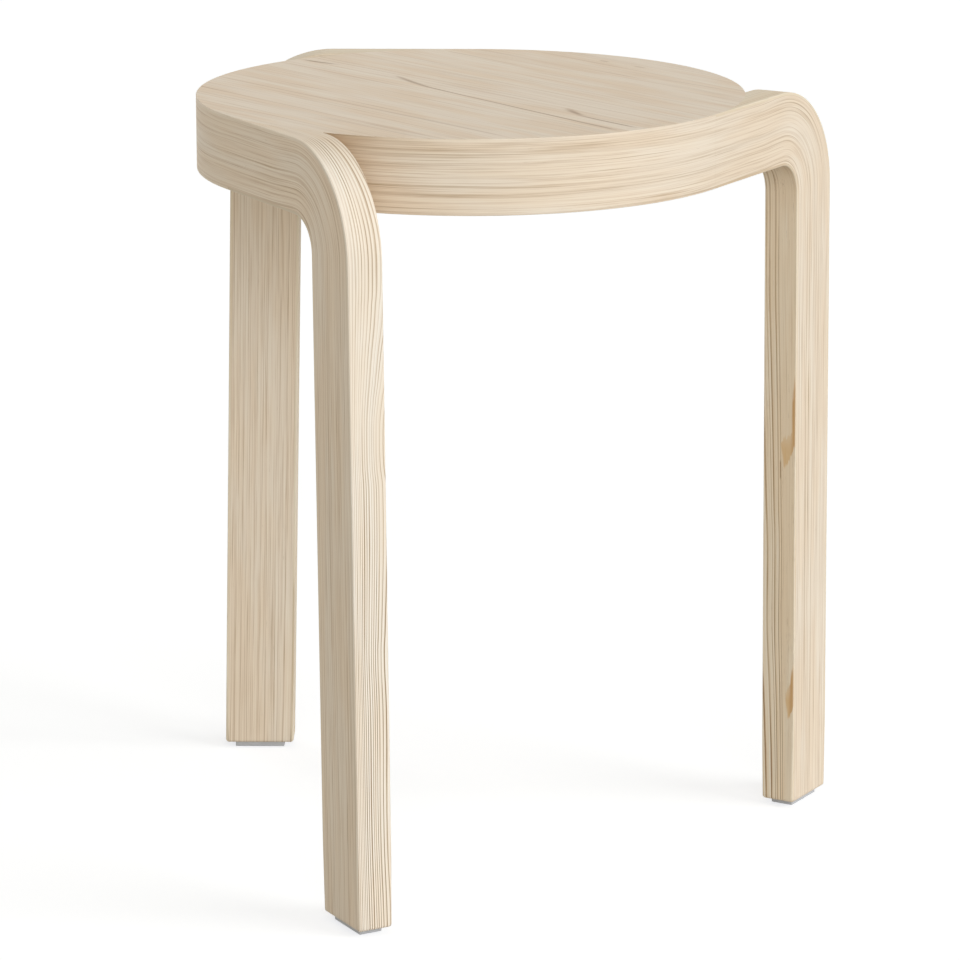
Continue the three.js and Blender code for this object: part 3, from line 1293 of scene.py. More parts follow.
@dataclass(frozen=True)
class ScrewSteel:
    """Finish of the screws: zinc-plated steel with fine turning marks."""

    name: str = "zinc_plated_steel"
    base: Colour = (196, 198, 200)
    dull: Colour = (146, 148, 150)
    bright: Colour = (225, 226, 228)
    cloud_scale: float = 900.0
    relief: float = 0.01 * MM

    def material(self, effects: Effects) -> Finish:
        """Builds the material.

        Args:
            effects: the shared node groups.

        Returns:
            The new material.
        """
        sheet = Surface(self.name)
        cloud = sheet.noise(sheet.grain, self.cloud_scale, 3.0)
        wear_and_highlight = sheet.single(effects.wear_and_highlight, coordinate=sheet.grain, edge=sheet.edge, unevenness=1.0, seed=5.0)
        marks = sheet.single(effects.streaks, coordinate=sheet.grain, length=1.5 * MM, width=0.12 * MM,
                             detail=2.0)
        colour = sheet.paint(linear(self.base), sheet.band(cloud, 0.35, 0.7), self.dull)
        colour = sheet.paint(colour, wear_and_highlight * 0.4, self.bright)
        sheet.shader.inputs["Metallic"].default_value = 1.0
        return sheet.finish(colour, marks * 0.25 + 0.2, marks, self.relief)


# Bent legs


class Stretch(Enum):
    """The three stretches of a bent leg."""

    ARM = "arm"
    BEND = "bend"
    LEG = "leg"


class Layer(Enum):
    """The three layers of a leg's stack."""

    OUTER = "outer_veneer"
    CORE = "core"
    INNER = "inner_veneer"


@dataclass(frozen=True)
class Station:
    """One cut through a bent leg. Its end is drawn in by the inset and stands the lift above the foot."""

    stretch: Stretch
    value: float
    lift: float = 0.0
    inset: float = 0.0


@dataclass
class BentLeg:
    """A bent leg: laminated core, outer and inner face, and what is fixed to it."""

    name: str
    index: int
    sizes: StoolSizes
    outer_finish: Finish
    core_finish: Finish
    inner_finish: Finish
    arm_steps: int = 16
    bend_steps: int = 36
    leg_steps: int = 40
    arc_steps: int = 5
    notch_run: float = 3 * MM
    foot_turn: float = QUARTER_TURN * 0.97
    cuts: list[Callable[[], Piece]] = field(default_factory=list)

    @property
    def angle(self) -> float:
        """Direction in which the arm points."""
        return self.sizes.arm_angle(self.index)

    def to_world(self, reach: float, side: float, height: float) -> Vector:
        """A point in the frame.

        Args:
            reach: its place along the arm.
            side: its distance from the seat's axis, across the arm.
            height: its height.

        Returns:
            The point.
        """
        c, s = math.cos(self.angle), math.sin(self.angle)
        return Vector((self.sizes.axis_x + reach * c + side * s,
                       self.sizes.axis_y + reach * s - side * c, height))

    def from_world(self, point: Vector) -> Point:
        """Places a point of the frame on the leg.

        Args:
            point: the point.

        Returns:
            Its reach, side and height.
        """
        x, y = point.x - self.sizes.axis_x, point.y - self.sizes.axis_y
        c, s = math.cos(self.angle), math.sin(self.angle)
        return (x * c + y * s, x * s - y * c, point.z)

    def path_point(self, station: Station, depth: float) -> tuple[float, float]:
        """Where a station cuts the line at one depth of the stack.

        Args:
            station: the station.
            depth: the depth below the outer face.

        Returns:
            Reach and height.
        """
        z = self.sizes
        radius = z.bend_radius - depth
        if station.stretch is Stretch.ARM:
            return station.value, z.height - depth
        if station.stretch is Stretch.BEND:
            return (z.bend_start + radius * math.cos(station.value),
                    z.bend_height + radius * math.sin(station.value))
        reach = z.bend_start + radius * math.cos(z.splay)
        height = z.bend_height + radius * math.sin(z.splay)
        drop = (height - z.foot_height) * station.value - station.lift
        return reach + drop * math.tan(z.splay), height - drop

    def grain_at(self, point: Vector) -> GrainStamp:
        """Reads a point on the leg.

        Args:
            point: the point.

        Returns:
            Its grain place and edge nearness.
        """
        z = self.sizes
        reach, side, height = self.from_world(point)
        x, y = reach - z.bend_start, height - z.bend_height
        down = x * math.sin(z.splay) - y * math.cos(z.splay)
        arc = z.bend_radius * (QUARTER_TURN - z.splay)
        if x <= 0 and y > 0:
            along, depth = reach, z.height - height
        elif down > 0:
            along = z.bend_start + arc + down
            depth = z.bend_radius - (x * math.cos(z.splay) + y * math.sin(z.splay))
        else:
            along = z.bend_start + z.bend_radius * (QUARTER_TURN - math.atan2(y, x))
            depth = z.bend_radius - math.hypot(x, y)
        gaps = sorted((self.side_gap(reach if x <= 0 else z.notch, side),
                       min(depth, z.stack - depth), height - z.foot_height))
        return GrainStamp(along, side, depth, nearness(gaps[1], z.wear_width))

    def grain_of_core(self, point: Vector) -> GrainStamp:
        """Grain place on the laminated body, set apart from the other legs' so that each has its own streaks."""
        mark = self.grain_at(point)
        return GrainStamp(mark.along, mark.across + self.index, mark.depth, mark.edge)

    def side_gap(self, reach: float, side: float) -> float:
        """Distance to the nearer long edge. Where the arm meets the rim its inner side is no edge.

        Args:
            reach: place along the arm.
            side: distance from the seat's axis.

        Returns:
            The distance.
        """
        z = self.sizes
        inner = math.hypot(max(z.notch - reach, 0.0), side - z.inner_side)
        return min(z.seat_radius - side, inner)

    def stations(self) -> list[Station]:
        """Cuts through the leg, closer together where the arm leaves the rim.

        Returns:
            The stations from the arm's tip to the foot.
        """
        z = self.sizes
        cuts = [Station(Stretch.ARM, z.tip_start + (z.notch - self.notch_run - z.tip_start) * i / self.arm_steps)
                for i in range(self.arm_steps + 1)]
        cuts += [Station(Stretch.ARM, z.notch - part * MM) for part in (2.4, 1.8, 1.2, 0.6, 0.0)]
        cuts += [Station(Stretch.ARM, (z.notch + z.bend_start) / 2)]
        for i in range(self.bend_steps + 1):
            share = i / self.bend_steps
            cuts.append(Station(Stretch.BEND, QUARTER_TURN + (z.splay - QUARTER_TURN) * share))
        for i in range(1, self.leg_steps):
            cuts.append(Station(Stretch.LEG, i / self.leg_steps))
        cuts.append(Station(Stretch.LEG, 1.0, lift=1.5 * z.foot_corner))
        for i in range(self.arc_steps + 1):
            turn = self.foot_turn * i / self.arc_steps
            cuts.append(Station(Stretch.LEG, 1.0, lift=z.foot_corner * (1 - math.sin(turn)),
                                inset=z.foot_corner * (1 - math.cos(turn))))
        return cuts

    def edge_radius(self, station: Station) -> float:
        """Radius of the long edges. They are rounder at the foot, where they are handled and knocked.

        Args:
            station: where along the leg.

        Returns:
            The radius.
        """
        z = self.sizes
        radius = z.edge_radius
        if station.stretch is Stretch.LEG:
            above = (z.bend_height - z.foot_height) * (1 - station.value) + station.lift
            radius += (z.foot_edge_radius - z.edge_radius) * max(1 - above / z.foot_edge_run, 0.0)
        return max(radius - station.inset, 0.0)

    def face_row(self, station: Station) -> list[tuple[float, float]]:
        """Points across a face at a station.

        Args:
            station: the station.

        Returns:
            (side, drop) points from the outer side to the inner one.
        """
        z = self.sizes
        radius = self.edge_radius(station)
        outer = z.seat_radius - station.inset
        in_arm = station.stretch is Stretch.ARM and station.value < z.notch
        inner = z.inner_side + station.inset
        if in_arm:
            inner = math.sqrt(z.seat_radius ** 2 - station.value ** 2)
        width = outer - inner
        edge = quarter_arc(radius, self.arc_steps) + [z.flat_from(radius), z.wear_width]
        shrink = min(1.0, width / (2.4 * z.wear_width))
        edge = [e * shrink for e in edge]
        inside = [edge[-1] + (width - 2 * edge[-1]) * share for share in (0.25, 0.5, 0.75)]
        gaps = edge + inside + [width - e for e in reversed(edge)]
        row = []
        for gap in gaps:
            side = outer - gap
            far = self.side_gap(station.value, side) if in_arm else side - inner
            row.append((side, station.inset + rounding(min(gap, far), radius)))
        return row

    def ring(self, station: Station, layer: Layer) -> list[tuple[float, float]]:
        """Points round one layer at a station.

        Args:
            station: the station.
            layer: which of the three layers.

        Returns:
            (side, depth) points.
        """
        z = self.sizes
        row = self.face_row(station)
        outer, inner = row[0][0], row[-1][0]
        upper, lower = z.veneer, z.stack - z.veneer
        back = [outer + (inner - outer) * share for share in (0.0, 0.5, 1.0)]
        if layer is Layer.OUTER:
            return row + [(side, upper - z.seam) for side in reversed(back)]
        if layer is Layer.INNER:
            return [(side, z.stack - drop) for side, drop in row] + [
                (side, lower + z.seam) for side in reversed(back)]
        top, bottom = upper + z.seam, lower - z.seam
        rows = [top, z.wear_width, 0.25 * z.stack, 0.5 * z.stack, 0.75 * z.stack, z.stack - z.wear_width, bottom]
        return ([(outer, depth) for depth in rows] + [(back[1], bottom)]
                + [(inner, depth) for depth in reversed(rows)] + [(back[1], top)])

    def build_layer(self, layer: Layer) -> Piece:
        """Lofts one layer through all its stations.

        Args:
            layer: which of the three layers.

        Returns:
            The layer's object, without its finish.
        """
        rings = []
        for station in self.stations():
            points = []
            for side, depth in self.ring(station, layer):
                reach, height = self.path_point(station, depth)
                points.append(self.to_world(reach, side, height))
            rings.append(points)
        return Loft(rings).to_object(f"{self.name}_leg_{layer.value}_dressed")

    def build(self) -> None:
        """Builds and dresses the three layers."""
        finishes = {Layer.OUTER: (self.outer_finish, "face_veneer"),
                    Layer.CORE: (self.core_finish, "laminated_core"),
                    Layer.INNER: (self.inner_finish, "face_veneer")}
        for layer, (material, slot) in finishes.items():
            made = self.build_layer(layer)
            if layer is Layer.CORE:
                cut(made, [maker() for maker in self.cuts])
            stamp(made, self.grain_of_core if layer is Layer.CORE else self.grain_at)
            soften(made)
            finish_piece(made, f"{self.name}_leg_{layer.value}", material)


# Round seat


@dataclass
class RoundSeat:
    """The seat: top face, laminated core and lower face."""

    sizes: StoolSizes
    top_finish: Finish
    core_finish: Finish
    underside_finish: Finish
    grain_angle: float = math.radians(-50.2)
    rim_steps: int = 288
    arc_steps: int = 5
    joint_gap: float = 0.02 * MM
    corner_step: float = math.radians(0.12)
    least_step: float = math.radians(0.05)
    face_shares: tuple[float, ...] = (0.97, 0.85, 0.7, 0.55, 0.4, 0.25, 0.1)
    back_shares: tuple[float, ...] = (0.1, 0.97)
    rim_shares: tuple[float, ...] = (0.3, 0.5, 0.7)
    near_rim: float = 5 * MM
    upright_slope: float = 0.75
    cuts: list[Callable[[], Piece]] = field(default_factory=list)

    def turns(self) -> list[float]:
        """Directions of the rim's points, closer together where an arm leaves the rim.

        Returns:
            The directions in order.
        """
        z = self.sizes
        turns = [WHOLE_TURN * i / self.rim_steps for i in range(self.rim_steps)]
        for index in range(LEGS):
            normal = z.arm_angle(index) - QUARTER_TURN
            for i in range(-2, 10):
                turns.append((normal + z.covered_turn - i * self.corner_step) % WHOLE_TURN)
        turns.sort()
        kept = [turns[0]]
        for turn in turns[1:]:
            if turn - kept[-1] > self.least_step:
                kept.append(turn)
        return kept

    def edge_gap(self, x: float, y: float) -> tuple[float, bool]:
        """Finds the outline of the seat with its arms.

        Args:
            x: a point's place from the seat's axis.
            y: its other place from the axis.

        Returns:
            The point's distance from the outline, and whether an arm covers the rim there.
        """
        z = self.sizes
        turn = math.atan2(y, x)
        for index in range(LEGS):
            angle = z.arm_angle(index)
            c, s = math.cos(angle), math.sin(angle)
            reach, side = x * c + y * s, x * s - y * c
            off = (turn - (angle - QUARTER_TURN) + math.pi) % WHOLE_TURN - math.pi
            if 0 <= off <= z.covered_turn:
                corner = math.hypot(z.notch - reach, z.inner_side - side)
                return min(z.seat_radius - side, corner), True
        return z.seat_radius - math.hypot(x, y), False

    def from_axis(self, point: Vector) -> tuple[float, float, float, float]:
        """Reads a point on the seat.

        Args:
            point: the point.

        Returns:
            Its two places from the seat's axis, its depth below the top face and its edge nearness.
        """
        z = self.sizes
        x, y, depth = point.x - z.axis_x, point.y - z.axis_y, z.height - point.z
        gaps = sorted((self.edge_gap(x, y)[0], min(depth, z.stack - depth)))
        return x, y, depth, nearness(gaps[1], z.wear_width)

    def grain_of_face(self, point: Vector) -> GrainStamp:
        """Reads a point on the seat's faces, whose grain runs straight across.

        Args:
            point: the point.

        Returns:
            Its stamp.
        """
        x, y, depth, edge = self.from_axis(point)
        c, s = math.cos(self.grain_angle), math.sin(self.grain_angle)
        return GrainStamp(x * c + y * s, y * c - x * s, depth, edge)

    def grain_of_rim(self, point: Vector) -> GrainStamp:
        """Reads a point on the rim, whose stripes run round it and on into each arm's side.

        Args:
            point: the point.

        Returns:
            Its stamp.
        """
        z = self.sizes
        x, y, depth, edge = self.from_axis(point)
        turn = math.atan2(y, x) - (z.arm_angle(0) - QUARTER_TURN)
        third = WHOLE_TURN / LEGS
        index = math.ceil((turn - z.covered_turn) / third)
        return GrainStamp(z.seat_radius * (turn - index * third), math.hypot(x, y) + index % LEGS, depth, edge)

    def ring(self, inward: float, depth: float | None, from_top: bool) -> list[Vector]:
        """One ring of points at a distance inside the rim.

        Args:
            inward: distance inside the rim.
            depth: depth below the top face, or None for the rounded face itself.
            from_top: whether the rounded face is the top one.

        Returns:
            The ring's points.
        """
        z = self.sizes
        points = []
        for turn in self.turns():
            radius = z.seat_radius - inward
            x, y = radius * math.cos(turn), radius * math.sin(turn)
            gap, covered = self.edge_gap(x, y)
            if covered and inward == 0:
                x, y = x * (1 - self.joint_gap / radius), y * (1 - self.joint_gap / radius)
            if depth is None:
                drop = rounding(gap, z.edge_radius)
                height = z.height - drop if from_top else z.underside + drop
            else:
                height = z.height - depth
            points.append(Vector((z.axis_x + x, z.axis_y + y, height)))
        return points

    def rounded_rows(self) -> list[float]:
        """Places the rings on a face.

        Returns:
            Their distances inside the rim, from the middle out.
        """
        z = self.sizes
        inner = [z.seat_radius * share for share in self.face_shares]
        arcs = quarter_arc(z.edge_radius, self.arc_steps)
        return inner + [self.near_rim, z.wear_width, z.flat_from(z.edge_radius)] + arcs[::-1]

    def build_face(self, from_top: bool) -> Piece:
        """Lofts a face sheet.

        Args:
            from_top: whether it is the top one.

        Returns:
            The sheet's object, without its finish.
        """
        z = self.sizes
        rings = [self.ring(inward, None, from_top) for inward in self.rounded_rows()]
        back = z.veneer - z.seam if from_top else z.stack - z.veneer + z.seam
        rings += [self.ring(share * z.seat_radius, back, from_top) for share in (0.0, *self.back_shares)]
        name = "seat_top_veneer_dressed" if from_top else "seat_underside_veneer_dressed"
        return Loft(rings, End.POINT).to_object(name)

    def build_core(self) -> Piece:
        """Lofts the laminated body between the two faces.

        Returns:
            The body's object, without its holes and its finish.
        """
        z = self.sizes
        top, bottom = z.veneer + z.seam, z.stack - z.veneer - z.seam
        insets = [share * z.seat_radius for share in self.back_shares]
        middle = [z.stack * share for share in self.rim_shares]
        rings = [self.ring(inset, top, True) for inset in reversed(insets)]
        rings += [self.ring(0.0, depth, True)
                  for depth in (top, z.wear_width, *middle, z.stack - z.wear_width, bottom)]
        rings += [self.ring(inset, bottom, True) for inset in insets]
        return Loft(rings, End.POINT).to_object("seat_core_dressed")

    def dress_sheet(self, made: Piece, node: str, finish: Finish) -> None:
        """Dresses a face sheet. Its thin edge has the rim's stripes and material.

        Args:
            made: the sheet.
            node: the frame's node that it stands for.
            finish: the finish of its faces.
        """
        mesh = made.data
        upright = [abs(face.normal.z) < self.upright_slope for face in mesh.polygons]
        marks: dict[int, GrainStamp] = {}
        for face, on_edge in zip(mesh.polygons, upright):
            reader = self.grain_of_rim if on_edge else self.grain_of_face
            for corner in face.loop_indices:
                marks[corner] = reader(mesh.vertices[mesh.loops[corner].vertex_index].co)
        write_stamps(mesh, "CORNER", [marks[corner] for corner in range(len(mesh.loops))])
        soften(made)
        finish_piece(made, node, finish)
        mesh.materials.append(self.core_finish)
        mesh.polygons.foreach_set("material_index", [int(on_edge) for on_edge in upright])

    def build(self) -> None:
        """Builds and dresses the seat's three layers."""
        self.dress_sheet(self.build_face(True), "seat_top_veneer", self.top_finish)
        core = self.build_core()
        cut(core, [maker() for maker in self.cuts])
        stamp(core, self.grain_of_rim)
        soften(core)
        finish_piece(core, "seat_core", self.core_finish)
        self.dress_sheet(self.build_face(False), "seat_underside_veneer", self.underside_finish)


# Dowels


@dataclass
class DowelPair:
    """The two fluted dowels between the rim and one arm."""

    leg: BentLeg
    material: Finish
    radius: float = 4 * MM
    length: float = 33 * MM
    chamfer: float = 1 * MM
    clearance: float = 0.3 * MM
    end_room: float = 1 * MM
    place_share: float = 0.85
    depth_share: float = 0.64
    spread_share: float = 0.42
    flutes: int = 18
    flats_in_flute: int = 8
    flute_depth: float = 0.22 * MM
    hole_flats: int = 40

    def across_rim(self, length: float, extra: float, height: float) -> Matrix:
        """Places an upright shape across the rim.

        Args:
            length: the shape's length.
            extra: how much deeper in the arm its far end lies than the dowel's.
            height: its height in the frame.

        Returns:
            The move.
        """
        z = self.leg.sizes
        turn = z.covered_turn * self.place_share
        in_arm = (z.seat_radius / math.cos(turn) - z.seat_radius) * self.depth_share
        outward = z.seat_radius + in_arm + extra - length
        lay = Matrix.Rotation(QUARTER_TURN, 4, "Y")
        out = Matrix.Translation((outward, 0, 0))
        aim = Matrix.Rotation(self.leg.angle + turn - QUARTER_TURN, 4, "Z")
        up = Matrix.Translation((z.axis_x, z.axis_y, height))
        return up @ aim @ out @ lay

    def heights(self) -> dict[str, float]:
        """Places the two dowels in the stack.

        Returns:
            The height of each by its name.
        """
        z = self.leg.sizes
        middle = z.height - z.stack / 2
        offset = z.stack * self.spread_share / 2
        return {"lower": middle - offset, "upper": middle + offset}

    def hole_makers(self) -> list[Callable[[], Piece]]:
        """Functions that each make the cutter for one hole."""
        return [partial(self.hole, height) for height in self.heights().values()]

    def hole(self, height: float) -> Piece:
        """The cutter for one hole.

        Args:
            height: the hole's height in the frame.

        Returns:
            The cutter.
        """
        length = self.length + 2 * self.end_room
        radius = self.radius + self.clearance
        shape = turned_shape("hole", [(radius, 0.0), (radius, length)], self.hole_flats)
        return place(shape, self.across_rim(length, self.end_room, height))

    def outline(self) -> list[tuple[float, float]]:
        """Outline of an upright dowel with chamfered ends.

        Returns:
            (radius, height) points.
        """
        rows = [(self.radius - self.chamfer, 0.0), (self.radius - 0.35 * self.chamfer, 0.3 * self.chamfer),
                (self.radius, self.chamfer)]
        middle = [(self.radius, self.length * share) for share in (0.1, 0.3, 0.5, 0.7, 0.9)]
        return rows + middle + [(radius, self.length - height) for radius, height in reversed(rows)]

    def fluted(self, turn: float, radius: float, _height: float) -> float:
        """A dowel's radius with the flutes taken off."""
        return radius - self.flute_depth * max(0.0, math.cos(turn * self.flutes)) ** 2

    def grain_at(self, point: Vector) -> GrainStamp:
        """Reads a point on an upright dowel. The chamfers are its edges.

        Args:
            point: the point.

        Returns:
            Its stamp.
        """
        near = nearness(min(point.z, self.length - point.z), self.chamfer)
        on_side = math.hypot(point.x, point.y) > self.radius * 0.6
        return GrainStamp(point.z, point.x, point.y, near if on_side else 0.0)

    def build(self) -> None:
        """Builds and dresses both dowels."""
        for which, height in self.heights().items():
            name = f"{self.leg.name}_{which}_dowel"
            made = turned_shape(f"{name}_dressed", self.outline(), self.flutes * self.flats_in_flute, self.fluted)
            stamp(made, self.grain_at)
            soften(made)
            place(made, self.across_rim(self.length, 0.0, height))
            finish_piece(made, name, self.material)


# Glides and their screws


@dataclass
class Foot:
    """A glide and the countersunk screw that holds it."""

    leg: BentLeg
    plastic: Finish
    steel: Finish
    thickness: float = 3.2 * MM
    end_inset: float = 6 * MM
    side_inset: float = 3.6 * MM
    corner: float = 1 * MM
    softening: float = 0.35 * MM
    head_radius: float = 3.5 * MM
    head_height: float = 1.6 * MM
    shank_radius: float = 1.6 * MM
    root_share: float = 0.72
    screw_length: float = 20 * MM
    point_length: float = 4 * MM
    recess: float = 0.6 * MM
    clearance: float = 0.3 * MM
    end_room: float = 1 * MM
    drive_length: float = 3.4 * MM
    drive_width: float = 0.8 * MM
    drive_depth: float = 1 * MM
    drive_taper: float = 0.62
    thread_pitch: float = 1.3 * MM
    thread_slope: float = 5.0
    plain_shank: float = 0.8 * MM
    thread_step: float = 0.13 * MM
    tip_radius: float = 0.02 * MM
    screw_flats: int = 28
    hole_flats: int = 48
    glide_margin: float = 0.5 * MM
    glide_wear: float = 0.8 * MM

    def base(self) -> Matrix:
        """Places a shape drawn round the foot's middle.

        Returns:
            The move.
        """
        z = self.leg.sizes
        outer = self.leg.path_point(Station(Stretch.LEG, 1.0), 0.0)[0]
        inner = self.leg.path_point(Station(Stretch.LEG, 1.0), z.stack)[0]
        middle = self.leg.to_world((outer + inner) / 2, z.seat_radius - z.leg_width / 2, 0.0)
        return Matrix.Translation(middle) @ Matrix.Rotation(self.leg.angle, 4, "Z")

    def screw_hole(self) -> Piece:
        """Makes the cutter for the screw's hole through the glide and into the foot.

        Returns:
            The cutter.
        """
        mouth = self.head_radius + self.clearance
        shank = self.shank_radius + self.clearance
        top = self.recess + self.head_height
        end = self.recess + self.screw_length + self.end_room
        outline = [(mouth, -5 * MM), (mouth, self.recess), (shank, top), (shank, end)]
        return place(turned_shape("hole", outline, self.hole_flats), self.base())

    def outline(self, inset: float) -> list[tuple[float, float]]:
        """The glide's outline with rounded corners.

        Args:
            inset: how far it is drawn in.

        Returns:
            (length, width) points round the foot's middle.
        """
        z = self.leg.sizes
        half_length = z.stack / math.cos(z.splay) / 2 - self.end_inset - inset
        half_width = z.leg_width / 2 - self.side_inset - inset
        radius = max(self.corner - inset, 0.2 * MM)
        points = []
        for quarter, (x, y) in enumerate(((1, 1), (-1, 1), (-1, -1), (1, -1))):
            for i in range(6):
                turn = QUARTER_TURN * (quarter + i / 5)
                points.append((x * (half_length - radius) + radius * math.cos(turn),
                               y * (half_width - radius) + radius * math.sin(turn)))
        return points

    def build_glide(self) -> None:
        """Builds and dresses the glide."""
        rows = [(self.softening + self.glide_margin, 0.0)]
        for i in range(5):
            turn = QUARTER_TURN * i / 4
            rows.append((self.softening * (1 - math.sin(turn)), self.softening * (1 - math.cos(turn))))
        rows += [(inset, self.thickness - height) for inset, height in reversed(rows)]
        rings = [[Vector((x, y, height)) for x, y in self.outline(inset)] for inset, height in rows]
        name = f"{self.leg.name}_glide"
        made = place(Loft(rings).to_object(f"{name}_dressed"), self.base())
        cut(made, [self.screw_hole()])
        home = self.base().inverted()

        def grain(point: Vector) -> GrainStamp:
            """Reads a point on the glide.

            Args:
                point: the point.

            Returns:
                Its stamp.
            """
            local = home @ point
            near = nearness(min(local.z, self.thickness - local.z), self.glide_wear)
            return GrainStamp(local.x, local.y, local.z, near)

        stamp(made, grain)
        soften(made)
        finish_piece(made, name, self.plastic)

    @property
    def thread_start(self) -> float:
        """Height above the foot's end where the screw's thread starts."""
        return self.recess + self.head_height + self.plain_shank

    def screw_outline(self) -> list[tuple[float, float]]:
        """The screw's outline: countersunk head, shank and point.

        Returns:
            (radius, height) points.
        """
        head, shank, low = self.head_radius, self.shank_radius, self.recess
        end = low + self.screw_length
        rows = [(head - 0.15 * MM, low), (head, low + 0.12 * MM), (head - 0.15 * MM, low + 0.3 * MM),
                (shank, low + self.head_height), (shank, self.thread_start)]
        height = self.thread_start + self.thread_step
        while height < end:
            share = 1.0 if height < end - self.point_length else (end - height) / self.point_length
            rows.append((shank * share, height))
            height += self.thread_step
        return rows + [(self.tip_radius, end)]

    def threaded(self, turn: float, radius: float, height: float) -> float:
        """Cuts the thread's groove.

        Args:
            turn: direction round the screw.
            radius: the outline's radius.
            height: height above the foot's end.

        Returns:
            The radius that is left.
        """
        if height <= self.thread_start:
            return radius
        phase = (height / self.thread_pitch - turn / WHOLE_TURN) % 1.0
        crest = max(0.0, 1 - abs(phase - 0.5) * self.thread_slope)
        return radius * (self.root_share + (1 - self.root_share) * crest)

    def slot(self, turn: float) -> Piece:
        """Makes the cutter for one arm of the screw's cross recess.

        Args:
            turn: direction of the slot.

        Returns:
            The cutter.
        """
        half_length, half_width = self.drive_length / 2, self.drive_width / 2
        corners = [(half_length, half_width), (-half_length, half_width),
                   (-half_length, -half_width), (half_length, -half_width)]
        rings = [[Vector((x * taper, y, self.recess + level)) for x, y in corners]
                 for level, taper in ((-self.drive_depth, 1.0), (0.0, 1.0), (self.drive_depth, self.drive_taper))]
        return place(Loft(rings).to_object("slot"), Matrix.Rotation(turn, 4, "Z"))

    def grain_of_screw(self, point: Vector) -> GrainStamp:
        """Reads a point on the upright screw, whose turning marks run round it.

        Args:
            point: the point.

        Returns:
            Its stamp.
        """
        out = math.hypot(point.x, point.y)
        near = 1.0 if out > self.head_radius - 0.2 * MM else 0.0
        return GrainStamp(math.atan2(point.y, point.x) * self.shank_radius, out, point.z, near)

    def build_screw(self) -> None:
        """Builds and dresses the screw."""
        name = f"{self.leg.name}_glide_screw"
        made = turned_shape(f"{name}_dressed", self.screw_outline(), self.screw_flats, self.threaded)
        cut(made, [self.slot(turn) for turn in (0.0, QUARTER_TURN)])
        stamp(made, self.grain_of_screw)
        soften(made)
        place(made, self.base())
        finish_piece(made, name, self.steel)

    def build(self) -> None:
        """Builds the glide and its screw."""
        self.build_glide()
        self.build_screw()


# Studio


@dataclass(frozen=True)
class Lamp:
    """A broad soft lamp, by the direction it stands in and the brightness it gives a white face towards it."""

    name: str
    azimuth: float
    elevation: float
    brightness: float
    breadth: float = 40.0
    colour: Colour = (251, 253, 255)


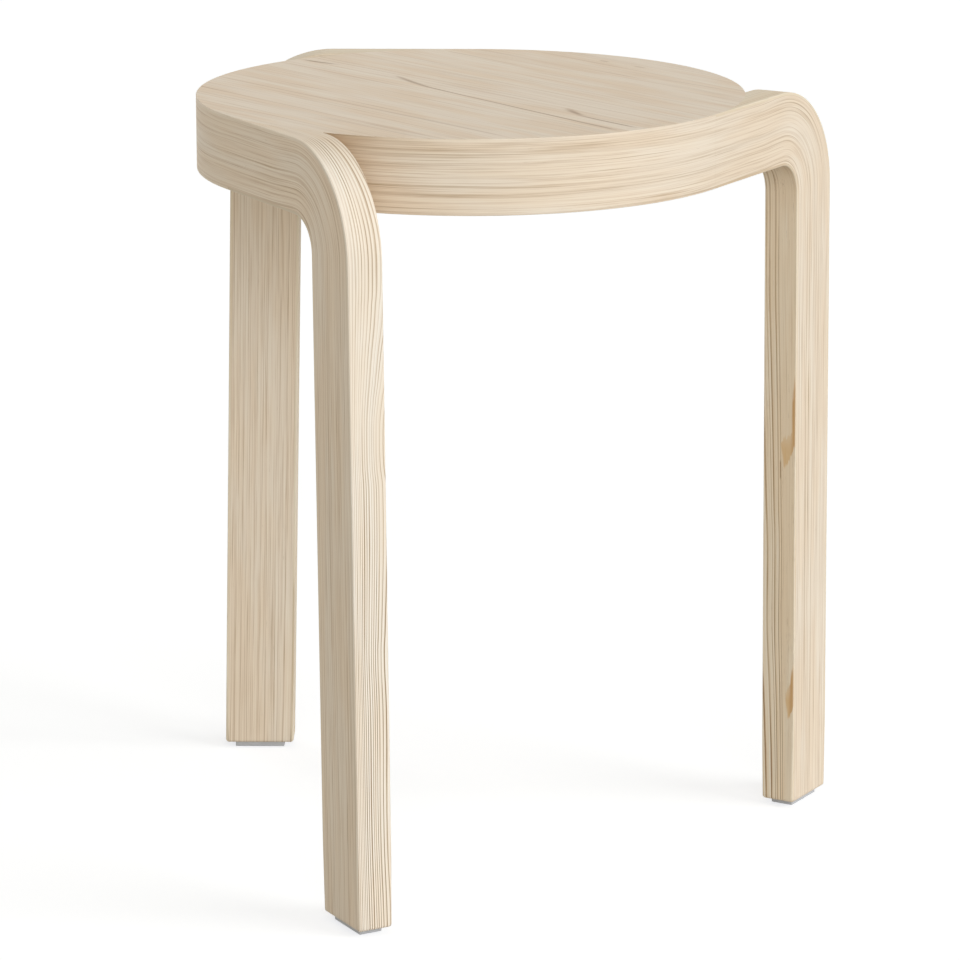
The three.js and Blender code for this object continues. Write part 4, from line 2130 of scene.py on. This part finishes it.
@dataclass(frozen=True)
class Studio:
    """Camera, floor, lamps and surroundings."""

    camera_place: Point = (0.0123, -2.6485, 0.8898)
    camera_tilt: float = math.radians(75.777)
    camera_turn: float = math.radians(0.756)
    lens: float = 173.93
    sensor: float = 36.0
    floor_size: float = 30.0
    lamp_distance: float = 2.0
    floor_colour: Colour = (204, 203, 200)
    floor_glow: float = 0.68
    glow_colour: Colour = (244, 248, 255)
    world_strength: float = 0.365
    world_colour: Colour = (255, 245, 221)
    white: Colour = (255, 255, 255)
    lamps: tuple[Lamp, ...] = (
        Lamp("key_lamp", -20.0, 28.0, 0.415),
        Lamp("front_lamp", -80.0, 12.0, 0.365),
        Lamp("back_lamp", 130.0, 15.0, 0.2),
    )

    def camera(self) -> None:
        """Places the camera at the photograph's view."""
        data = bpy.data.cameras.new("view_camera")
        data.sensor_width = self.sensor
        data.lens = self.lens
        data.clip_end = 100.0
        made = bpy.data.objects.new("view_camera", data)
        made.location = self.camera_place
        made.rotation_euler = (self.camera_tilt, 0.0, self.camera_turn)
        bpy.context.scene.collection.objects.link(made)
        bpy.context.scene.camera = made

    def seen_directly(self, sheet: Sheet) -> Value:
        """Tells what is seen from what lights the object.

        Args:
            sheet: the sheet that the nodes go on.

        Returns:
            One for rays from the camera and for what metal or glass shows, and zero for light on the object.
        """
        path = sheet.add("ShaderNodeLightPath")
        seen = sheet.math("ADD", path.outputs["Is Camera Ray"], path.outputs["Is Glossy Ray"], clamp=True)
        return sheet.math("ADD", seen, path.outputs["Is Transmission Ray"], clamp=True)

    def surroundings(self) -> None:
        """White surroundings: full white where they are seen, weaker as light."""
        world = bpy.data.worlds.new("studio_white")
        sheet = Sheet.of(world)
        seen = self.seen_directly(sheet)
        colour = sheet.paint(linear(self.world_colour), seen, self.white)
        strength = sheet.band(seen, 0.0, 1.0, self.world_strength, 1.0, smooth=False)
        back = sheet.result("ShaderNodeBackground", colour, strength)
        sheet.feed(sheet.add("ShaderNodeOutputWorld").inputs["Surface"], back)
        bpy.context.scene.world = world

    def floor(self) -> None:
        """A pale floor that shows white where it is seen and keeps a faint shadow."""
        half = self.floor_size / 2
        mesh = bpy.data.meshes.new("studio_floor")
        mesh.from_pydata([(-half, -half, 0), (half, -half, 0), (half, half, 0), (-half, half, 0)], [],
                         [(0, 1, 2, 3)])
        made = bpy.data.objects.new("studio_floor", mesh)
        bpy.context.scene.collection.objects.link(made)
        material = bpy.data.materials.new("studio_floor")
        sheet = Sheet.of(material)
        matt = sheet.result("ShaderNodeBsdfDiffuse", linear(self.floor_colour))
        glow = sheet.result("ShaderNodeEmission", linear(self.glow_colour), self.floor_glow)
        lit = sheet.result("ShaderNodeAddShader", matt, glow)
        chosen = sheet.result("ShaderNodeMixShader", self.seen_directly(sheet), matt, lit)
        from_below = sheet.add("ShaderNodeNewGeometry").outputs["Backfacing"]
        clear = sheet.result("ShaderNodeBsdfTransparent")
        both = sheet.result("ShaderNodeMixShader", from_below, chosen, clear)
        sheet.feed(sheet.add("ShaderNodeOutputMaterial").inputs["Surface"], both)
        mesh.materials.append(material)

    def light(self, lamp: Lamp) -> None:
        """Hangs one lamp.

        Args:
            lamp: the lamp.
        """
        data = bpy.data.lights.new(lamp.name, "SUN")
        data.angle = math.radians(lamp.breadth)
        data.energy = lamp.brightness * math.pi
        data.color = linear(lamp.colour)[:3]
        made = bpy.data.objects.new(lamp.name, data)
        azimuth, elevation = math.radians(lamp.azimuth), math.radians(lamp.elevation)
        level = math.cos(elevation)
        towards = Vector((level * math.cos(azimuth), level * math.sin(azimuth), math.sin(elevation)))
        made.location = towards * self.lamp_distance
        made.rotation_euler = towards.to_track_quat("Z", "Y").to_euler()
        bpy.context.scene.collection.objects.link(made)

    def build(self) -> None:
        """Sets up the whole studio."""
        self.camera()
        self.surroundings()
        self.floor()
        for lamp in self.lamps:
            self.light(lamp)
        bpy.context.scene.view_settings.view_transform = "Standard"


# The stool


LAMINATED_SIDES = Wood(
    "laminated_sides", 7.0, run=Run.DOWN, base=(243, 230, 214), dark=(188, 162, 130), pale=(254, 246, 233),
    stripes=stripes_from(
        (2.6, -0.25, 0.8), (6.6, -0.35, 0.7), (9.6, -0.45, 0.7), (13.0, -0.15, 0.9), (16.6, -0.4, 0.7),
        (21.4, -0.45, 0.9), (24.5, -0.15, 0.8), (26.9, -0.5, 0.7), (30.2, -0.5, 0.8), (36.0, -0.45, 0.8),
        (41.4, -0.4, 0.8),
    ),
    strength_along=((0, 0.6), (70, 0.95), (120, 0.9), (170, 0.55), (600, 0.65)),
    shift=((55, 0.0), (95, 1.2 * MM), (120, 1.0 * MM), (180, 0.0)),
    # Painted shade on the rim beside each arm, where the arm shades it.
    shade_and_tone_along=((-246, 1.0), (-241, 0.9), (-236, 0.75), (-231, 0.62), (-226, 0.52), (-221, 0.4), (-211, 0.2),
                 (-201, 0.1), (-191, 0.04), (-176, 0.0), (0, 0.0)),
    rings=0.35, ring_spacing=3.0 * MM, wander=0.8 * MM, fine=2.2, medium=2.2, calm=0.35, wear_and_highlight=0.08,
)

FRONT_OUTER_FACE = Wood(
    "front_leg_outer_face", 1.0, base=(251, 243, 232), pale=(255, 252, 246), dark=(194, 172, 146),
    brown=(152, 126, 100),
    rings=0.4, ring_spacing=1.7 * MM, late_share=0.3, unevenness=0.15,
    stripes=stripes_from(
        (0.9, -0.8, 0.6), (2.6, -0.9, 0.8), (4.5, -1.0, 0.9), (6.4, -0.8, 0.8), (8.2, -0.9, 0.8),
        (10.2, -1.1, 0.9), (12.6, -1.3, 1.0), (15.0, -1.0, 0.9), (17.8, -1.3, 1.1), (20.4, -0.9, 0.9),
        (22.9, -0.9, 1.0), (25.2, -1.2, 1.0), (28.0, -0.8, 1.1), (31.9, -0.9, 1.2), (36.0, -1.1, 1.4),
    ),
    stripe_break=0.35,
    strength_along=((85, 0.1), (104, 0.85), (180, 0.75), (250, 0.55), (310, 0.85), (400, 1.2), (562, 1.35)),
    stretch=((95, 0.85), (120, 0.88), (150, 0.95), (186, 1.0), (208, 0.93), (236, 0.76), (253, 0.67),
             (261, 0.62), (286, 0.56), (298, 0.57), (312, 0.61), (392, 0.55), (404, 0.53), (438, 0.55),
             (505, 0.53), (562, 0.57)),
    # Not shade: the arm's top is darkened towards the seat top's tone.
    shade_and_tone_along=((0, 1.0), (88, 1.0), (100, 0.75), (120, 0.3), (140, 0.0)), shade_and_tone=(246, 240, 233),
    wander=0.5 * MM, fine=1.8, medium=0.9, wear_and_highlight=0.06,
)

ARM_TOP_LINES = stripes_from(
    (3.6, -0.3, 0.6), (7.4, -0.35, 0.6), (11.2, -0.3, 0.6), (14.8, -0.35, 0.6), (18.6, -0.4, 0.8),
)

OUTER_FACES = (
    FRONT_OUTER_FACE,
    Wood("right_leg_outer_face", 2.0, stripes=ARM_TOP_LINES, rings=0.35, ring_spacing=3.4 * MM, wander=1.4 * MM,
         wear_and_highlight=0.12),
    Wood("rear_leg_outer_face", 3.0, stripes=ARM_TOP_LINES, rings=0.35, ring_spacing=3.0 * MM, wander=1.4 * MM,
         wear_and_highlight=0.12),
)

# Painted shade on the inner faces under the bend.
SHADE_UNDER_BEND = ((100, 0.45), (126, 0.4), (145, 0.32), (159, 0.27), (175, 0.2), (190, 0.1), (210, 0.0))

RIGHT_INNER_FACE = Wood(
    "right_leg_inner_face", 5.0, base=(243, 228, 206), dark=(186, 159, 125), span=66 * MM,
    stripes=stripes_from(
        (12.1, -0.7, 0.8), (14.2, -1.1, 0.9), (18.2, -1.2, 1.0), (20.2, -1.1, 0.9), (24.8, -1.3, 1.4),
        (31.2, -1.3, 1.6), (37.3, -1.3, 1.6), (43.6, -1.3, 1.7), (48.5, -1.2, 1.7), (56.4, -1.2, 1.9),
    ),
    stripe_break=0.35,
    strength_along=((200, 0.8), (300, 1.0), (420, 1.05), (500, 1.2), (564, 1.3)),
    stretch=((212, 1.0), (245, 0.99), (272, 0.945), (307, 0.89), (330, 0.85), (377, 0.786), (405, 0.742),
             (447, 0.742), (470, 0.71), (490, 0.67), (518, 0.63), (537, 0.61), (564, 0.59)),
    wander=0.4 * MM, fine=1.8, medium=1.4, flecks=0.3, shade_and_tone_along=SHADE_UNDER_BEND,
    edge_knots=(EdgeKnot(280 * MM, 329 * MM, 350 * MM, 10.3 * MM),
                EdgeKnot(466 * MM, 486 * MM, 508 * MM, 5.5 * MM)),
    lines=(GrainLine(347 * MM, 361 * MM, 12.1 * MM, 12.3 * MM, fade=3 * MM, strength=0.9),),
)

INNER_FACES = (
    Wood("front_leg_inner_face", 4.0, rings=0.5, ring_spacing=3.0 * MM, wander=1.6 * MM, shade_and_tone_along=SHADE_UNDER_BEND),
    RIGHT_INNER_FACE,
    Wood("rear_leg_inner_face", 6.0, rings=0.5, ring_spacing=2.6 * MM, wander=1.6 * MM, shade_and_tone_along=SHADE_UNDER_BEND),
)

SEAT_TOP = Wood(
    "seat_top_face", 10.0, base=(245, 233, 219), dark=(195, 171, 144), tint=(249, 242, 234), tint_amount=0.9,
    zero=0.0, sense=1.0,
    rings=0.3, ring_spacing=5.0 * MM, late_share=0.2, wander=2.5 * MM, wander_length=260 * MM,
    fine=1.6, medium=1.3, calm=0.7, fine_length=60 * MM, fine_width=0.6 * MM, medium_width=1.8 * MM, wear_and_highlight=0.05,
    lines=lines_from(
        (-76, -22, 2.0, -9.0, 1.4, -1.2, 0.7), (-40, 158, -7.6, -18.6, 0.8, -1.3, 0.85),
        (76, 110, 6.0, -4.6, 1.9, 0.0, 0.8), (98, 158, -3.6, -5.4, 0.8, -0.6, 0.85),
        (-160, -124, -4.4, 1.4, 1.3, -1.4, 1.0),
        (-140, 132, -82.0, -80.0, 0.6, 0.6, 0.4), (-156, -40, -20.0, -21.0, 0.6, 0.0, 0.35),
        (10, 104, -119.0, -118.0, 0.5, 0.0, 0.35), (40, 110, -113.0, -112.0, 0.5, 0.0, 0.35),
        (-133, -50, 83.0, 82.0, 0.6, 0.0, 0.35), (30, 92, 114.0, 120.0, 0.6, 0.0, 0.35),
    ),
    knots=knots_from((-36, 133, 6, 2.0, 0.3, 0.1, 0.6), (-5, 135, 8, 1.8, 0.25, 0.1, 0.6)),
)

SEAT_UNDERSIDE = Wood(
    "seat_underside_face", 11.0, zero=0.0, sense=1.0, rings=0.3, ring_spacing=4.5 * MM, wander=6 * MM,
    wander_length=300 * MM,
)


def write_sizes() -> None:
    bpy.context.view_layer.update()


def main() -> None:
    """Builds the studio and the stool, piece by piece."""
    logging.basicConfig(level=logging.INFO, format="%(name)s: %(message)s")
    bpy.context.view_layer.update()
    sizes = StoolSizes.from_frame()
    Studio().build()
    effects = Effects()

    dowel_wood = DowelWood().material(effects)
    plastic = GlidePlastic().material(effects)
    steel = ScrewSteel().material(effects)

    sides = LAMINATED_SIDES.material(effects)
    seat = RoundSeat(sizes, SEAT_TOP.material(effects), sides, SEAT_UNDERSIDE.material(effects))
    for index, name in enumerate(("front", "right", "rear")):
        leg = BentLeg(name, index, sizes, OUTER_FACES[index].material(effects), sides,
                      INNER_FACES[index].material(effects))
        dowels = DowelPair(leg, dowel_wood)
        foot = Foot(leg, plastic, steel)
        seat.cuts += dowels.hole_makers()
        leg.cuts += dowels.hole_makers() + [foot.screw_hole]
        leg.build()
        dowels.build()
        foot.build()
    seat.build()
    write_sizes()


if __name__ == "__main__":
    main()
